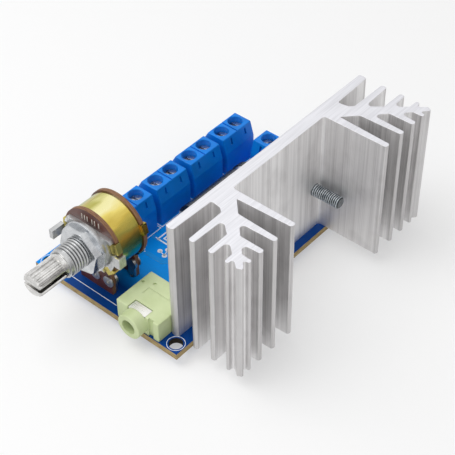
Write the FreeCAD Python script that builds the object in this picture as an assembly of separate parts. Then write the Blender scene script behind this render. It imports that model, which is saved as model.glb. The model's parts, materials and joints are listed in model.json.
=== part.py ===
"""Audio amplifier board: a four-channel power amplifier on a small circuit board.

All sizes are millimetres. The origin is midway between the two front mounting holes, on the board's
underside. +Z is up, -Y is the side with the volume control and the input jack, +X the heatsink side.
Places on the board are written from its left and front edges, and heights from its top face.
"""
import FreeCAD, Part
import math
import os

from FreeCAD import Vector

# How far a cutting shape reaches past the face that it opens, and how close two places count as one
OVERCUT = 1.0
EDGE_MATCH = 0.01

# Circuit board
BOARD_WIDTH = 43.0
BOARD_LENGTH = 65.0
BOARD_THICKNESS = 1.6
BOARD_HOLE_DIAMETER = 3.2
BOARD_HOLE_INSET_X = 2.2
BOARD_HOLE_INSET_Y = 2.3
PIN_REACH = 2.0
PIN_HOLE_CLEARANCE = 0.1
SOLDER_HEIGHT = 0.9
SOLDER_SPREAD = 0.5
SOLDER_TOP_SPREAD = 0.1

# Heatsink: one extrusion, a flat plate with a tree of fins at each end, mirrored about its middle
HEATSINK_LENGTH = 64.7
HEATSINK_HEIGHT = 31.5
HEATSINK_DEPTH = 19.4
HEATSINK_START = 3.85
HEATSINK_EDGE_GAP = 5.05
PLATE_THICKNESS = 3.0
WING_TIP_THICKNESS = 2.0
CLAMP_SCREW_CHANNEL_GAP = 2.05
FIN_TIP_BULGE = 0.35
ROOT_FILLET = 0.8
ROOT_FILLET_WALL_SHARE = 0.8
TRUNK_LEFT_START = (21.1, 2.9)
TRUNK_LEFT_MID = (21.4, 4.9)
TRUNK_LEFT_END_DEPTH = 18.4
TRUNK_START_FROM_CHANNEL = 2.15
TRUNK_START_DEPTH = 5.9
TRUNK_TIP_WIDTH = 0.95
# Outward fins: place along the plate of the root's and the tip's inner face, then both thicknesses
OUTWARD_FINS = (
    (20.4, 20.75, 2.0, 1.25),
    (25.05, 25.1, 1.7, 1.25),
    (28.75, 28.8, 1.0, 0.9),
)
FIRST_FIN_ROOT = 2.1
FIRST_FIN_TIP = 1.35
# Sideways fins: depth of the root's and the tip's inner face, then both thicknesses
SIDEWAYS_FINS = (
    (5.95, 6.1, 1.85, 1.4),
    (10.95, 11.05, 1.5, 1.3),
    (15.25, 15.35, 1.2, 0.95),
)

# Screws that clamp the power chip
CLAMP_SCREW_DIAMETER = 3.0
CLAMP_SCREW_SPACING = 26.4
CLAMP_SCREW_HEIGHT = 11.7
CLAMP_SCREW_LENGTH = 16.0
CLAMP_HEAD_DIAMETER = 5.6
CLAMP_HEAD_HEIGHT = 2.2
CLAMP_RECESS_WIDTH = 0.7
CLAMP_RECESS_LENGTH = 3.2
CLAMP_RECESS_DEPTH = 1.2
CLAMP_TIP_CHAMFER = 0.35
CLAMP_THREAD_PITCH = 0.5
CLAMP_THREAD_DEPTH = 0.22
CLAMP_THREAD_LENGTH = 6.5
THREAD_CLEARANCE = 0.02
PLAIN_WASHER_DIAMETER = 7.0
PLAIN_WASHER_THICKNESS = 0.5
SPRING_WASHER_DIAMETER = 5.6
SPRING_WASHER_THICKNESS = 0.8
SPRING_WASHER_SPLIT = 0.5
WASHER_BORE_CLEARANCE = 0.1

# Power chip
CHIP_WIDTH = 29.2
CHIP_HEIGHT = 14.8
CHIP_THICKNESS = 4.4
CHIP_STAND_OFF = 4.3
CHIP_NOTCH_RADIUS = 1.7
CHIP_EDGE_CHAMFER = 0.5
CHIP_TAB_THICKNESS = 1.4
CHIP_TAB_MARGIN = 1.2
LEAD_COUNT = 25
LEAD_PITCH = 1.0
LEAD_WIDTH = 0.6
LEAD_THICKNESS = 0.5
LEAD_BACK_SETTING = 1.9
LEAD_ROW_SPACING = 4.0
LEAD_DROP = 1.0
LEAD_FOOT_HEIGHT = 1.2

# Screw terminal blocks
BLOCK_PITCH = 5.08
BLOCK_POLES = 2
BLOCK_HEIGHT = 10.0
BLOCK_DEPTH = 7.7
BLOCK_FRONT_TOP = 1.7
BLOCK_BACK_TOP = 6.6
BLOCK_FRONT_KINK = 7.0
BLOCK_BACK_KINK = 6.2
BLOCK_FRONT_INSET = 5.9
BLOCK_FIRST_CENTRE = 20.9
BLOCK_SPACING = 11.65
SPEAKER_BLOCKS = 4
SUPPLY_BLOCK_START = 17.7
SUPPLY_BLOCK_BACK = 54.6
BLOCK_GROOVE_WIDTH = 0.4
BLOCK_GROOVE_DEPTH = 0.4
BLOCK_SLOT_WIDTH = 0.6
BLOCK_SLOT_LENGTH = 1.7
BLOCK_SLOT_DEPTH = 0.5
BLOCK_SLOT_SHARE = 0.4
BLOCK_EDGE_RADIUS = 0.2
BLOCK_WELL_BEVEL = 0.15
BLOCK_CAVITY_HALF_WIDTH = 2.1
BLOCK_CAVITY_FRONT = 1.2
BLOCK_CAVITY_BACK = 6.95
BLOCK_CAVITY_HEIGHT = 6.8
BLOCK_SCREW_DEPTH = 3.8
WIRE_ENTRY_WIDTH = 3.2
WIRE_ENTRY_BOTTOM = 0.8
WIRE_ENTRY_TOP = 3.6
WIRE_ENTRY_CORNER = 1.0
TERMINAL_HEAD_DIAMETER = 3.4
TERMINAL_HEAD_HEIGHT = 1.3
TERMINAL_HEAD_RECESS = 1.5
TERMINAL_HEAD_CLEARANCE = 0.1
TERMINAL_SLOT_WIDTH = 0.6
TERMINAL_SLOT_DEPTH = 0.6
TERMINAL_SHANK_DIAMETER = 2.6
TERMINAL_SHANK_CLEARANCE = 0.05
TERMINAL_SHANK_END = 4.0
LEDGE_GAP = 0.1
CAGE_WIDTH = 3.6
CAGE_WALL = 0.5
CAGE_DEPTH = 4.0
CAGE_BOTTOM = 0.3
CAGE_FLOOR = 0.6
CAGE_ROOF = 0.8
CAGE_HEIGHT = 4.5
CAGE_CORNER = 0.3
STRIP_WIDTH = 1.9
STRIP_THICKNESS = 0.4
STRIP_HEIGHT = 3.2
STRIP_FRONT = 1.6
STRIP_BACK_SETTING = 0.25
TERMINAL_PIN_DIAMETER = 1.0

# Volume control: two resistive wafers either side of one barrel
POT_FROM_LEFT = 15.7
POT_AXIS_HEIGHT = 13.4
POT_WAFER_FRONT = 3.9
WAFER_RADIUS = 8.25
WAFER_THICKNESS = 1.0
WAFER_LEG_WIDTH = 9.9
WAFER_BORE_CLEARANCE = 0.4
WAFER_BOSS_RADIUS = 2.0
WAFER_RIM = 0.35
WAFER_NOTCH_CLEARANCE = 0.1
BARREL_WALL = 0.5
BARREL_LENGTH = 6.5
BARREL_OPENING_ANGLE = 62.0
CLASP_WIDTH = 2.6
CLASP_THICKNESS = 0.5
CLASP_REACH = 2.1
CLASP_RISE = 0.5
FRONT_CLASP_ANGLES = (17.0, 172.0, 228.0, -48.0)
REAR_CLASP_ANGLES = (17.0, 228.0, -48.0)
MOUNTING_PLATE_THICKNESS = 1.0
MOUNTING_PLATE_INSET = 0.65
MOUNTING_PLATE_TOP = 4.3
MOUNTING_PLATE_BOTTOM = 6.4
MOUNTING_EAR_OVERHANG = 0.8
MOUNTING_EAR_TOP = 0.6
MOUNTING_EAR_HEIGHT = 2.9
MOUNTING_EAR_THICKNESS = 0.55
MOUNTING_EAR_FOLD = 1.0
BOSS_DIAMETER = 11.6
BOSS_THICKNESS = 0.9
LUG_WIDTH = 1.1
LUG_HEIGHT = 2.3
LUG_REACH = 3.6
LUG_OVERHANG = 0.15
LUG_RISE = 0.5
BUSHING_DIAMETER = 7.0
BUSHING_LENGTH = 6.5
BUSHING_THREAD_PITCH = 0.75
BUSHING_THREAD_DEPTH = 0.3
BUSHING_COLLAR_DIAMETER = 6.7
BUSHING_COLLAR_LENGTH = 0.9
NUT_ACROSS_FLATS = 10.2
NUT_TURN = 15.0
NUT_THICKNESS = 2.0
NUT_CHAMFER = 0.3
POT_WASHER_DIAMETER = 12.4
POT_WASHER_THICKNESS = 0.5
BUSHING_CLEARANCE = 0.05
SHAFT_DIAMETER = 5.8
SHAFT_REACH = 16.7
SHAFT_CLEARANCE = 0.05
SHAFT_SPLINE_LENGTH = 7.2
SHAFT_SPLINE_TEETH = 18
SHAFT_SPLINE_DEPTH = 0.3
SHAFT_SLOT_WIDTH = 1.0
SHAFT_SLOT_LENGTH = 7.6
SHAFT_TIP_CHAMFER = 0.5
SPINDLE_DIAMETER = 4.0
SPINDLE_END_GAP = 0.3
ROTOR_BARREL_GAP = 1.8
ROTOR_THICKNESS = 1.2
ROTOR_HUB_RADIUS = 3.0
ROTOR_WAFER_GAP = 0.5
WIPER_THICKNESS = 0.2
WIPER_WIDTH = 2.0
WIPER_RIM = 0.4
WIPER_ANGLE = 70.0
POT_PIN_PITCH = 4.0
POT_PIN_WIDTH = 0.8
POT_PIN_THICKNESS = 0.6
POT_TERMINAL_HEIGHT = 3.7
POT_TERMINAL_WIDTH = 2.0
POT_RIVET_RADIUS = 1.45
POT_RIVET_SHANK = 0.7
POT_RIVET_HEAD = 0.3
POT_RIVET_DIMPLE = 0.5

# Input jack
JACK_FROM_LEFT = 25.65
JACK_FROM_FRONT = 0.2
JACK_WIDTH = 12.15
JACK_LENGTH = 11.0
JACK_HEIGHT = 5.2
JACK_WALL = 1.0
JACK_EDGE_RADIUS = 0.25
JACK_BARREL_RADIUS = 3.1
JACK_BARREL_HEIGHT = 2.8
JACK_BARREL_REACH = 2.8
JACK_BORE_RADIUS = 1.8
JACK_FRONT_WALL = 1.2
JACK_WINDOW_LEFT = 3.35
JACK_WINDOW_WIDTH = 5.1
JACK_WINDOW_LENGTH = 2.6
JACK_NOTCH_WIDTH = 1.4
JACK_NOTCH_DEPTH = 0.5
JACK_NOTCH_FROM_RIGHT = 1.5
JACK_PEEP_RADIUS = 0.35
JACK_PEEP_DEPTH = 0.4
JACK_PEEP_HOLES = ((0.85, 7.5), (3.35, 8.6))
JACK_MARK_WIDTH = 0.2
JACK_MARK_DEPTH = 0.1
JACK_MARK_CORNER = (3.1, 7.0)
JACK_MARK_LENGTH = 6.4
JACK_SPRING_THICKNESS = 0.3
JACK_SPRING_WIDTH = 2.2
JACK_PIN_WIDTH = 0.9
JACK_SPRING_GAP = 0.15
JACK_SLEEVE_FRONT = 0.15
JACK_TIP_SPRING_FRONT = 5.2
JACK_RING_SPRING_FRONT = 4.2
JACK_SPRING_RAMP = 1.0

# Supply capacitor, lying on the board with its bung to the back
CAPACITOR_DIAMETER = 10.0
CAPACITOR_LENGTH = 20.0
CAPACITOR_FROM_LEFT = 23.1
CAPACITOR_FROM_FRONT = 28.7
CAPACITOR_SLEEVE = 0.12
CAPACITOR_CAN_WALL = 0.35
CAPACITOR_RIM = 1.2
CAPACITOR_BEAD_FROM_BACK = 2.6
CAPACITOR_BEAD_DEPTH = 0.5
CAPACITOR_BUNG_LENGTH = 2.2
CAPACITOR_VENT_WIDTH = 0.3
CAPACITOR_VENT_DEPTH = 0.1
CAPACITOR_LEAD_PITCH = 5.0
CAPACITOR_LEAD_DIAMETER = 0.6
CAPACITOR_LEAD_BEND = 1.6

# Chip parts soldered to the top face between the terminals and the power chip
CHIP_PART_LENGTH = 2.0
CHIP_PART_WIDTH = 1.25
CHIP_PART_CAP = 0.35
CHIP_CAPACITOR_HEIGHT = 0.9
CHIP_RESISTOR_HEIGHT = 0.55
CHIP_CAPACITOR_FROM_PLATE = 7.75
CHIP_RESISTOR_FROM_PLATE = 4.35
CHIP_PARTS_JACK_GAP = 2.4
CHIP_PARTS_LEAD_GAP = 1.85
CHIP_PARTS_COUNT = 4

# Values worked out from the sizes above
X_LEFT = -BOARD_WIDTH / 2
X_RIGHT = BOARD_WIDTH / 2
Y_FRONT = -BOARD_HOLE_INSET_Y
Y_BACK = Y_FRONT + BOARD_LENGTH
Z_TOP = BOARD_THICKNESS
PLATE_FACE_X = X_RIGHT - HEATSINK_EDGE_GAP
CHANNEL_HALF_WIDTH = CLAMP_SCREW_SPACING / 2 + CLAMP_SCREW_CHANNEL_GAP
TRUNK_RIGHT_START = (CHANNEL_HALF_WIDTH + TRUNK_START_FROM_CHANNEL, TRUNK_START_DEPTH)
HEATSINK_MIDDLE_Y = Y_FRONT + HEATSINK_START + HEATSINK_LENGTH / 2
CLAMP_SCREW_Z = Z_TOP + CLAMP_SCREW_HEIGHT
POT_X = X_LEFT + POT_FROM_LEFT
POT_Z = Z_TOP + POT_AXIS_HEIGHT
WAFER_FRONT_Y = Y_FRONT + POT_WAFER_FRONT
BARREL_FRONT_Y = WAFER_FRONT_Y + WAFER_THICKNESS
BARREL_BACK_Y = BARREL_FRONT_Y + BARREL_LENGTH
PLATE_FRONT_Y = WAFER_FRONT_Y - MOUNTING_PLATE_THICKNESS
BARREL_RADIUS = WAFER_RADIUS - WAFER_RIM
MOUNTING_PLATE_RADIUS = WAFER_RADIUS - MOUNTING_PLATE_INSET
MOUNTING_EAR_REACH = WAFER_RADIUS + MOUNTING_EAR_OVERHANG
LUG_FROM_AXIS = WAFER_RADIUS + LUG_OVERHANG
CLASP_OUTER = BARREL_RADIUS + CLASP_RISE
CLASP_INNER = CLASP_OUTER - CLASP_REACH
ROTOR_RADIUS = BARREL_RADIUS - BARREL_WALL - ROTOR_BARREL_GAP
WIPER_OUTER = ROTOR_RADIUS - WIPER_RIM
WIPER_INNER = WIPER_OUTER - WIPER_WIDTH
JACK_X = X_LEFT + JACK_FROM_LEFT
JACK_Y = Y_FRONT + JACK_FROM_FRONT
JACK_AXIS_X = JACK_X + JACK_WIDTH / 2
JACK_AXIS_Z = Z_TOP + JACK_BARREL_HEIGHT
CAPACITOR_X = X_LEFT + CAPACITOR_FROM_LEFT
CAPACITOR_Y = Y_FRONT + CAPACITOR_FROM_FRONT
CAPACITOR_Z = Z_TOP + CAPACITOR_DIAMETER / 2
LEDGE_TOP = BLOCK_HEIGHT - TERMINAL_HEAD_RECESS - TERMINAL_HEAD_HEIGHT - LEDGE_GAP
TERMINAL_BORE_RADIUS = TERMINAL_HEAD_DIAMETER / 2 + TERMINAL_HEAD_CLEARANCE
STRIP_BACK = BLOCK_CAVITY_BACK - STRIP_BACK_SETTING
AXIS_X = Vector(1, 0, 0)
AXIS_Y = Vector(0, 1, 0)
AXIS_Z = Vector(0, 0, 1)


def box(x_low, x_high, y_low, y_high, z_low, z_high):
    """Rectangular block between two corners."""
    corner = Vector(x_low, y_low, z_low)
    return Part.makeBox(x_high - x_low, y_high - y_low, z_high - z_low, corner)


def prism(points, thickness):
    """Closed polygon of vectors, pushed along a vector."""
    wire = Part.makePolygon(list(points) + [points[0]])
    return Part.Face(wire).extrude(thickness)


def rod(radius, start, reach, axis):
    """Round bar from a start point along an axis."""
    return Part.makeCylinder(radius, reach, start, axis)


def joined(shapes):
    """One solid from touching or overlapping shapes, without the seams between flat faces."""
    first = shapes[0]
    return first.multiFuse(shapes[1:]).removeSplitter() if len(shapes) > 1 else first


def solid_group(shapes):
    """Separate solids kept together in one file."""
    solids = [solid for shape in shapes for solid in shape.Solids]
    return Part.makeCompound(solids)


def bevelled_edges(shape, size, chosen):
    """Chamfer the edges that a test picks."""
    edges = [edge for edge in shape.Edges if chosen(edge)]
    return shape.makeChamfer(size, edges)


def thread_grooves(radius, depth, pitch, start, reach, axis):
    """V grooves of a fine thread about an axis, one ring for each turn."""
    grooves = []
    count = int(reach / pitch)
    half = pitch * 0.4
    for number in range(count):
        middle = start + axis * (pitch * (number + 0.5))
        low = Part.makeCone(radius + 0.01, radius - depth, half, middle - axis * half, axis)
        high = Part.makeCone(radius - depth, radius + 0.01, half, middle, axis)
        outer = Part.makeCylinder(radius + depth, 2 * half, middle - axis * half, axis)
        grooves.append(outer.cut(Part.makeCompound([low, high])))
    return Part.makeCompound(grooves)


def edge_at(edge, axis_name, place):
    """True where a whole edge lies at one coordinate."""
    low = getattr(edge.BoundBox, axis_name + "Min")
    high = getattr(edge.BoundBox, axis_name + "Max")
    return abs(low - place) < EDGE_MATCH and abs(high - place) < EDGE_MATCH


# Heatsink

def fin_bar(root_low, root_high, tip_low, tip_high, bulge):
    """Tapered fin seen from above, with a slightly rounded tip.

    Points are (along the plate, depth) pairs and the tip bows outwards by the bulge.
    """
    corners = [Vector(u, v, 0) for u, v in (root_low, tip_low, tip_high, root_high)]
    middle = (corners[1] + corners[2]) * 0.5
    outward = (corners[1] - corners[0]).normalize()
    crown = middle + outward * bulge
    edges = [
        Part.LineSegment(corners[0], corners[1]).toShape(),
        Part.Arc(corners[1], crown, corners[2]).toShape(),
        Part.LineSegment(corners[2], corners[3]).toShape(),
        Part.LineSegment(corners[3], corners[0]).toShape(),
    ]
    face = Part.Face(Part.Wire(edges))
    return face.extrude(Vector(0, 0, HEATSINK_HEIGHT))


def trunk_left(depth):
    """Place along the plate of the trunk's wing-side edge at a depth."""
    start_u, start_v = TRUNK_LEFT_MID
    end_u = HEATSINK_LENGTH / 2
    share = (depth - start_v) / (TRUNK_LEFT_END_DEPTH - start_v)
    return start_u + (end_u - start_u) * share


def trunk_right(along):
    """Depth of the trunk's channel-side edge at a place along the plate."""
    start_u, start_v = TRUNK_RIGHT_START
    end_u = HEATSINK_LENGTH / 2 - TRUNK_TIP_WIDTH
    share = (along - start_u) / (end_u - start_u)
    return start_v + (HEATSINK_DEPTH - start_v) * share


def heatsink_tree():
    """Half of the extrusion: wing, trunk and fins on the side of rising place along the plate."""
    half = HEATSINK_LENGTH / 2
    straight = half - FIN_TIP_BULGE
    depth = HEATSINK_DEPTH - FIN_TIP_BULGE
    wing = fin_bar((0, 0), (0, PLATE_THICKNESS), (straight, 0), (straight, WING_TIP_THICKNESS), FIN_TIP_BULGE)
    flat = prism([
        Vector(0, 0, 0),
        Vector(TRUNK_LEFT_START[0], 0, 0),
        Vector(TRUNK_LEFT_START[0], PLATE_THICKNESS, 0),
        Vector(0, PLATE_THICKNESS, 0),
    ], Vector(0, 0, HEATSINK_HEIGHT))
    trunk = prism([
        Vector(CHANNEL_HALF_WIDTH, 0, 0),
        Vector(TRUNK_LEFT_START[0], 0, 0),
        Vector(TRUNK_LEFT_START[0], TRUNK_LEFT_START[1], 0),
        Vector(TRUNK_LEFT_MID[0], TRUNK_LEFT_MID[1], 0),
        Vector(half, TRUNK_LEFT_END_DEPTH, 0),
        Vector(half - TRUNK_TIP_WIDTH / 2, HEATSINK_DEPTH, 0),
        Vector(half - TRUNK_TIP_WIDTH, HEATSINK_DEPTH, 0),
        Vector(TRUNK_RIGHT_START[0], TRUNK_RIGHT_START[1], 0),
        Vector(CHANNEL_HALF_WIDTH, TRUNK_RIGHT_START[1] - FIRST_FIN_ROOT, 0),
    ], Vector(0, 0, HEATSINK_HEIGHT))
    first_fin = fin_bar(
        (CHANNEL_HALF_WIDTH, PLATE_THICKNESS),
        (CHANNEL_HALF_WIDTH + FIRST_FIN_ROOT, PLATE_THICKNESS),
        (CHANNEL_HALF_WIDTH, depth),
        (CHANNEL_HALF_WIDTH + FIRST_FIN_TIP, depth),
        FIN_TIP_BULGE)
    pieces = [wing, flat, trunk, first_fin]
    for root_u, tip_u, root_width, tip_width in OUTWARD_FINS:
        root_v = trunk_right(root_u) - root_width / 2
        pieces.append(fin_bar(
            (root_u, root_v), (root_u + root_width, root_v),
            (tip_u, depth), (tip_u + tip_width, depth), FIN_TIP_BULGE))
    for root_v, tip_v, root_width, tip_width in SIDEWAYS_FINS:
        root_u = trunk_left(root_v) - root_width / 2
        pieces.append(fin_bar(
            (root_u, root_v), (root_u, root_v + root_width),
            (straight, tip_v), (straight, tip_v + tip_width), FIN_TIP_BULGE))
    return joined(pieces)


def inside_corners(extrusion):
    """Upright edges of an extrusion where two walls meet in an inside corner."""
    probes = 24
    found = []
    for edge in extrusion.Edges:
        room = edge.BoundBox
        if max(room.XLength, room.YLength) > EDGE_MATCH:
            continue
        filled = 0
        for number in range(probes):
            angle = 2 * math.pi * (number + 0.5) / probes
            probe = room.Center + Vector(math.cos(angle), math.sin(angle), 0) * (ROOT_FILLET / 8)
            if extrusion.isInside(probe, EDGE_MATCH / 10, False):
                filled += 1
        if filled > 0.6 * probes:
            found.append(edge)
    return found


def root_web(extrusion, edge):
    """Web that rounds off one inside corner and stops short of the end of both walls."""
    corner = Vector(edge.BoundBox.Center.x, edge.BoundBox.Center.y, 0)
    middles = [wall.CenterOfMass for wall in extrusion.ancestorsOfType(edge, Part.Face)]
    ways = [Vector(middle.x, middle.y, 0) - corner for middle in middles]
    shorter = 2 * min(way.Length for way in ways)
    first, second = [Vector(way).normalize() for way in ways]
    half = first.getAngle(second) / 2
    reach = min(ROOT_FILLET / math.tan(half), ROOT_FILLET_WALL_SHARE * shorter)
    radius = reach * math.tan(half)
    between = (first + second).normalize()
    centre = corner + between * (radius / math.sin(half))
    low = corner + first * reach
    high = corner + second * reach
    edges = [
        Part.LineSegment(corner, low).toShape(),
        Part.Arc(low, centre - between * radius, high).toShape(),
        Part.LineSegment(high, corner).toShape(),
    ]
    return Part.Face(Part.Wire(edges)).extrude(Vector(0, 0, HEATSINK_HEIGHT))


def heatsink():
    """Both trees in one extrusion, standing on the board, with two threaded screw holes."""
    tree = heatsink_tree()
    mirrored = tree.mirror(Vector(0, 0, 0), AXIS_X)
    profile = joined([tree, mirrored])
    profile = joined([profile] + [root_web(profile, edge) for edge in inside_corners(profile)])
    profile.rotate(Vector(0, 0, 0), AXIS_Z, 90)
    profile = profile.mirror(Vector(0, 0, 0), AXIS_X)
    profile.translate(Vector(PLATE_FACE_X, HEATSINK_MIDDLE_Y, Z_TOP))
    holes = []
    for side in (-1, 1):
        screw_y = HEATSINK_MIDDLE_Y + side * CLAMP_SCREW_SPACING / 2
        start = Vector(PLATE_FACE_X - OVERCUT, screw_y, CLAMP_SCREW_Z)
        radius = CLAMP_SCREW_DIAMETER / 2 + THREAD_CLEARANCE
        holes.append(rod(radius, start, PLATE_THICKNESS + 2 * OVERCUT, AXIS_X))
    return profile.cut(Part.makeCompound(holes))


# Power chip and its clamp screws

def chip_outline(inset):
    """Front outline of the chip with a half-round notch at each end, as a solid of full thickness."""
    low = CHIP_STAND_OFF + Z_TOP + inset
    high = CHIP_STAND_OFF + Z_TOP + CHIP_HEIGHT - inset
    half = CHIP_WIDTH / 2 - inset
    body = box(
        PLATE_FACE_X - CHIP_THICKNESS, PLATE_FACE_X,
        HEATSINK_MIDDLE_Y - half, HEATSINK_MIDDLE_Y + half, low, high)
    radius = CHIP_NOTCH_RADIUS + inset
    cuts = []
    for side in (-1, 1):
        centre_y = HEATSINK_MIDDLE_Y + side * CLAMP_SCREW_SPACING / 2
        end_y = HEATSINK_MIDDLE_Y + side * (CHIP_WIDTH / 2 + OVERCUT)
        start = Vector(PLATE_FACE_X - CHIP_THICKNESS - OVERCUT, centre_y, CLAMP_SCREW_Z)
        cuts.append(rod(radius, start, CHIP_THICKNESS + 2 * OVERCUT, AXIS_X))
        cuts.append(box(
            start.x, PLATE_FACE_X + OVERCUT, min(centre_y, end_y), max(centre_y, end_y),
            CLAMP_SCREW_Z - radius, CLAMP_SCREW_Z + radius))
    return body.cut(Part.makeCompound(cuts))


def chip_tab():
    """Metal slab let into the back of the chip, flat against the heatsink."""
    slab = chip_outline(CHIP_TAB_MARGIN)
    front = PLATE_FACE_X - CHIP_TAB_THICKNESS
    keep = box(
        front, PLATE_FACE_X,
        HEATSINK_MIDDLE_Y - CHIP_WIDTH, HEATSINK_MIDDLE_Y + CHIP_WIDTH,
        Z_TOP, Z_TOP + HEATSINK_HEIGHT)
    return slab.common(keep)


def chip_body():
    """Moulded body around the metal slab, bevelled along its front edges."""
    front = PLATE_FACE_X - CHIP_THICKNESS
    body = chip_outline(0)
    body = bevelled_edges(body, CHIP_EDGE_CHAMFER, lambda edge: edge_at(edge, "X", front))
    return body.cut(chip_tab())


def lead_places():
    """Foot of each lead, (x, y), in two staggered rows."""
    straight_x = PLATE_FACE_X - LEAD_BACK_SETTING
    first_y = HEATSINK_MIDDLE_Y - (LEAD_COUNT - 1) * LEAD_PITCH / 2
    places = []
    for number in range(LEAD_COUNT):
        bent = number % 2 == 0
        x = straight_x - (LEAD_ROW_SPACING if bent else 0)
        places.append((x, first_y + number * LEAD_PITCH))
    return places


def chip_leads():
    """Flat leads out of the chip's underside, every other one cranked forward to the front row."""
    top = Z_TOP + CHIP_STAND_OFF
    bottom = -PIN_REACH
    half = LEAD_THICKNESS / 2
    straight_x = PLATE_FACE_X - LEAD_BACK_SETTING
    leads = []
    for foot_x, y in lead_places():
        if abs(foot_x - straight_x) < LEAD_THICKNESS:
            path = [(straight_x, top), (straight_x, bottom)]
        else:
            path = [
                (straight_x, top),
                (straight_x, top - LEAD_DROP),
                (foot_x, Z_TOP + LEAD_FOOT_HEIGHT),
                (foot_x, bottom),
            ]
        front = [Vector(x - half, y - LEAD_WIDTH / 2, z) for x, z in path]
        back = [Vector(x + half, y - LEAD_WIDTH / 2, z) for x, z in reversed(path)]
        leads.append(prism(front + back, Vector(0, LEAD_WIDTH, 0)))
    return solid_group(leads)


def clamp_stack(side):
    """Start of the washer stack on the chip's front face for one screw."""
    y = HEATSINK_MIDDLE_Y + side * CLAMP_SCREW_SPACING / 2
    return Vector(PLATE_FACE_X - CHIP_THICKNESS, y, CLAMP_SCREW_Z)


def plain_washers():
    """Flat washers against the chip."""
    washers = []
    for side in (-1, 1):
        start = clamp_stack(side) - AXIS_X * PLAIN_WASHER_THICKNESS
        disc = rod(PLAIN_WASHER_DIAMETER / 2, start, PLAIN_WASHER_THICKNESS, AXIS_X)
        bore = rod(CLAMP_SCREW_DIAMETER / 2 + WASHER_BORE_CLEARANCE, start, PLAIN_WASHER_THICKNESS, AXIS_X)
        washers.append(disc.cut(bore))
    return solid_group(washers)


def spring_washers():
    """Split lock washers between the flat washers and the screw heads."""
    washers = []
    reach = SPRING_WASHER_THICKNESS
    for side in (-1, 1):
        start = clamp_stack(side) - AXIS_X * (PLAIN_WASHER_THICKNESS + reach)
        disc = rod(SPRING_WASHER_DIAMETER / 2, start, reach, AXIS_X)
        bore = rod(CLAMP_SCREW_DIAMETER / 2 + WASHER_BORE_CLEARANCE, start, reach, AXIS_X)
        half = SPRING_WASHER_SPLIT / 2
        split = box(
            start.x, start.x + reach, start.y - half, start.y + half,
            start.z, start.z + SPRING_WASHER_DIAMETER)
        washers.append(disc.cut(bore).cut(split))
    return solid_group(washers)


def clamp_screws():
    """Pan-head screws through the chip's notches, threaded through the plate and out beyond it."""
    screws = []
    for side in (-1, 1):
        seat = clamp_stack(side) - AXIS_X * (PLAIN_WASHER_THICKNESS + SPRING_WASHER_THICKNESS)
        head = rod(CLAMP_HEAD_DIAMETER / 2, seat - AXIS_X * CLAMP_HEAD_HEIGHT, CLAMP_HEAD_HEIGHT, AXIS_X)
        top = seat.x - CLAMP_HEAD_HEIGHT
        head = head.makeFillet(CLAMP_HEAD_HEIGHT / 3, [edge for edge in head.Edges if edge_at(edge, "X", top)])
        shank = rod(CLAMP_SCREW_DIAMETER / 2, seat, CLAMP_SCREW_LENGTH, AXIS_X)
        end = seat.x + CLAMP_SCREW_LENGTH
        shank = bevelled_edges(shank, CLAMP_TIP_CHAMFER, lambda edge: edge_at(edge, "X", end))
        thread_start = Vector(end - CLAMP_TIP_CHAMFER - CLAMP_THREAD_LENGTH, seat.y, seat.z)
        shank = shank.cut(thread_grooves(
            CLAMP_SCREW_DIAMETER / 2, CLAMP_THREAD_DEPTH, CLAMP_THREAD_PITCH,
            thread_start, CLAMP_THREAD_LENGTH, AXIS_X))
        arm = CLAMP_RECESS_LENGTH / 2
        thin = CLAMP_RECESS_WIDTH / 2
        depth = top + CLAMP_RECESS_DEPTH
        cross = [
            box(top, depth, seat.y - arm, seat.y + arm, seat.z - thin, seat.z + thin),
            box(top, depth, seat.y - thin, seat.y + thin, seat.z - arm, seat.z + arm),
        ]
        screws.append(joined([head, shank]).cut(joined(cross)))
    return solid_group(screws)


# Screw terminal blocks. Each is made with its wire side facing -X, its base on z = 0, its first
# pole towards -Y and its middle on y = 0, and is then set on the board.

def pole_places():
    """Middle of each pole along the row."""
    first = -(BLOCK_POLES - 1) * BLOCK_PITCH / 2
    return [first + number * BLOCK_PITCH for number in range(BLOCK_POLES)]


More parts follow.
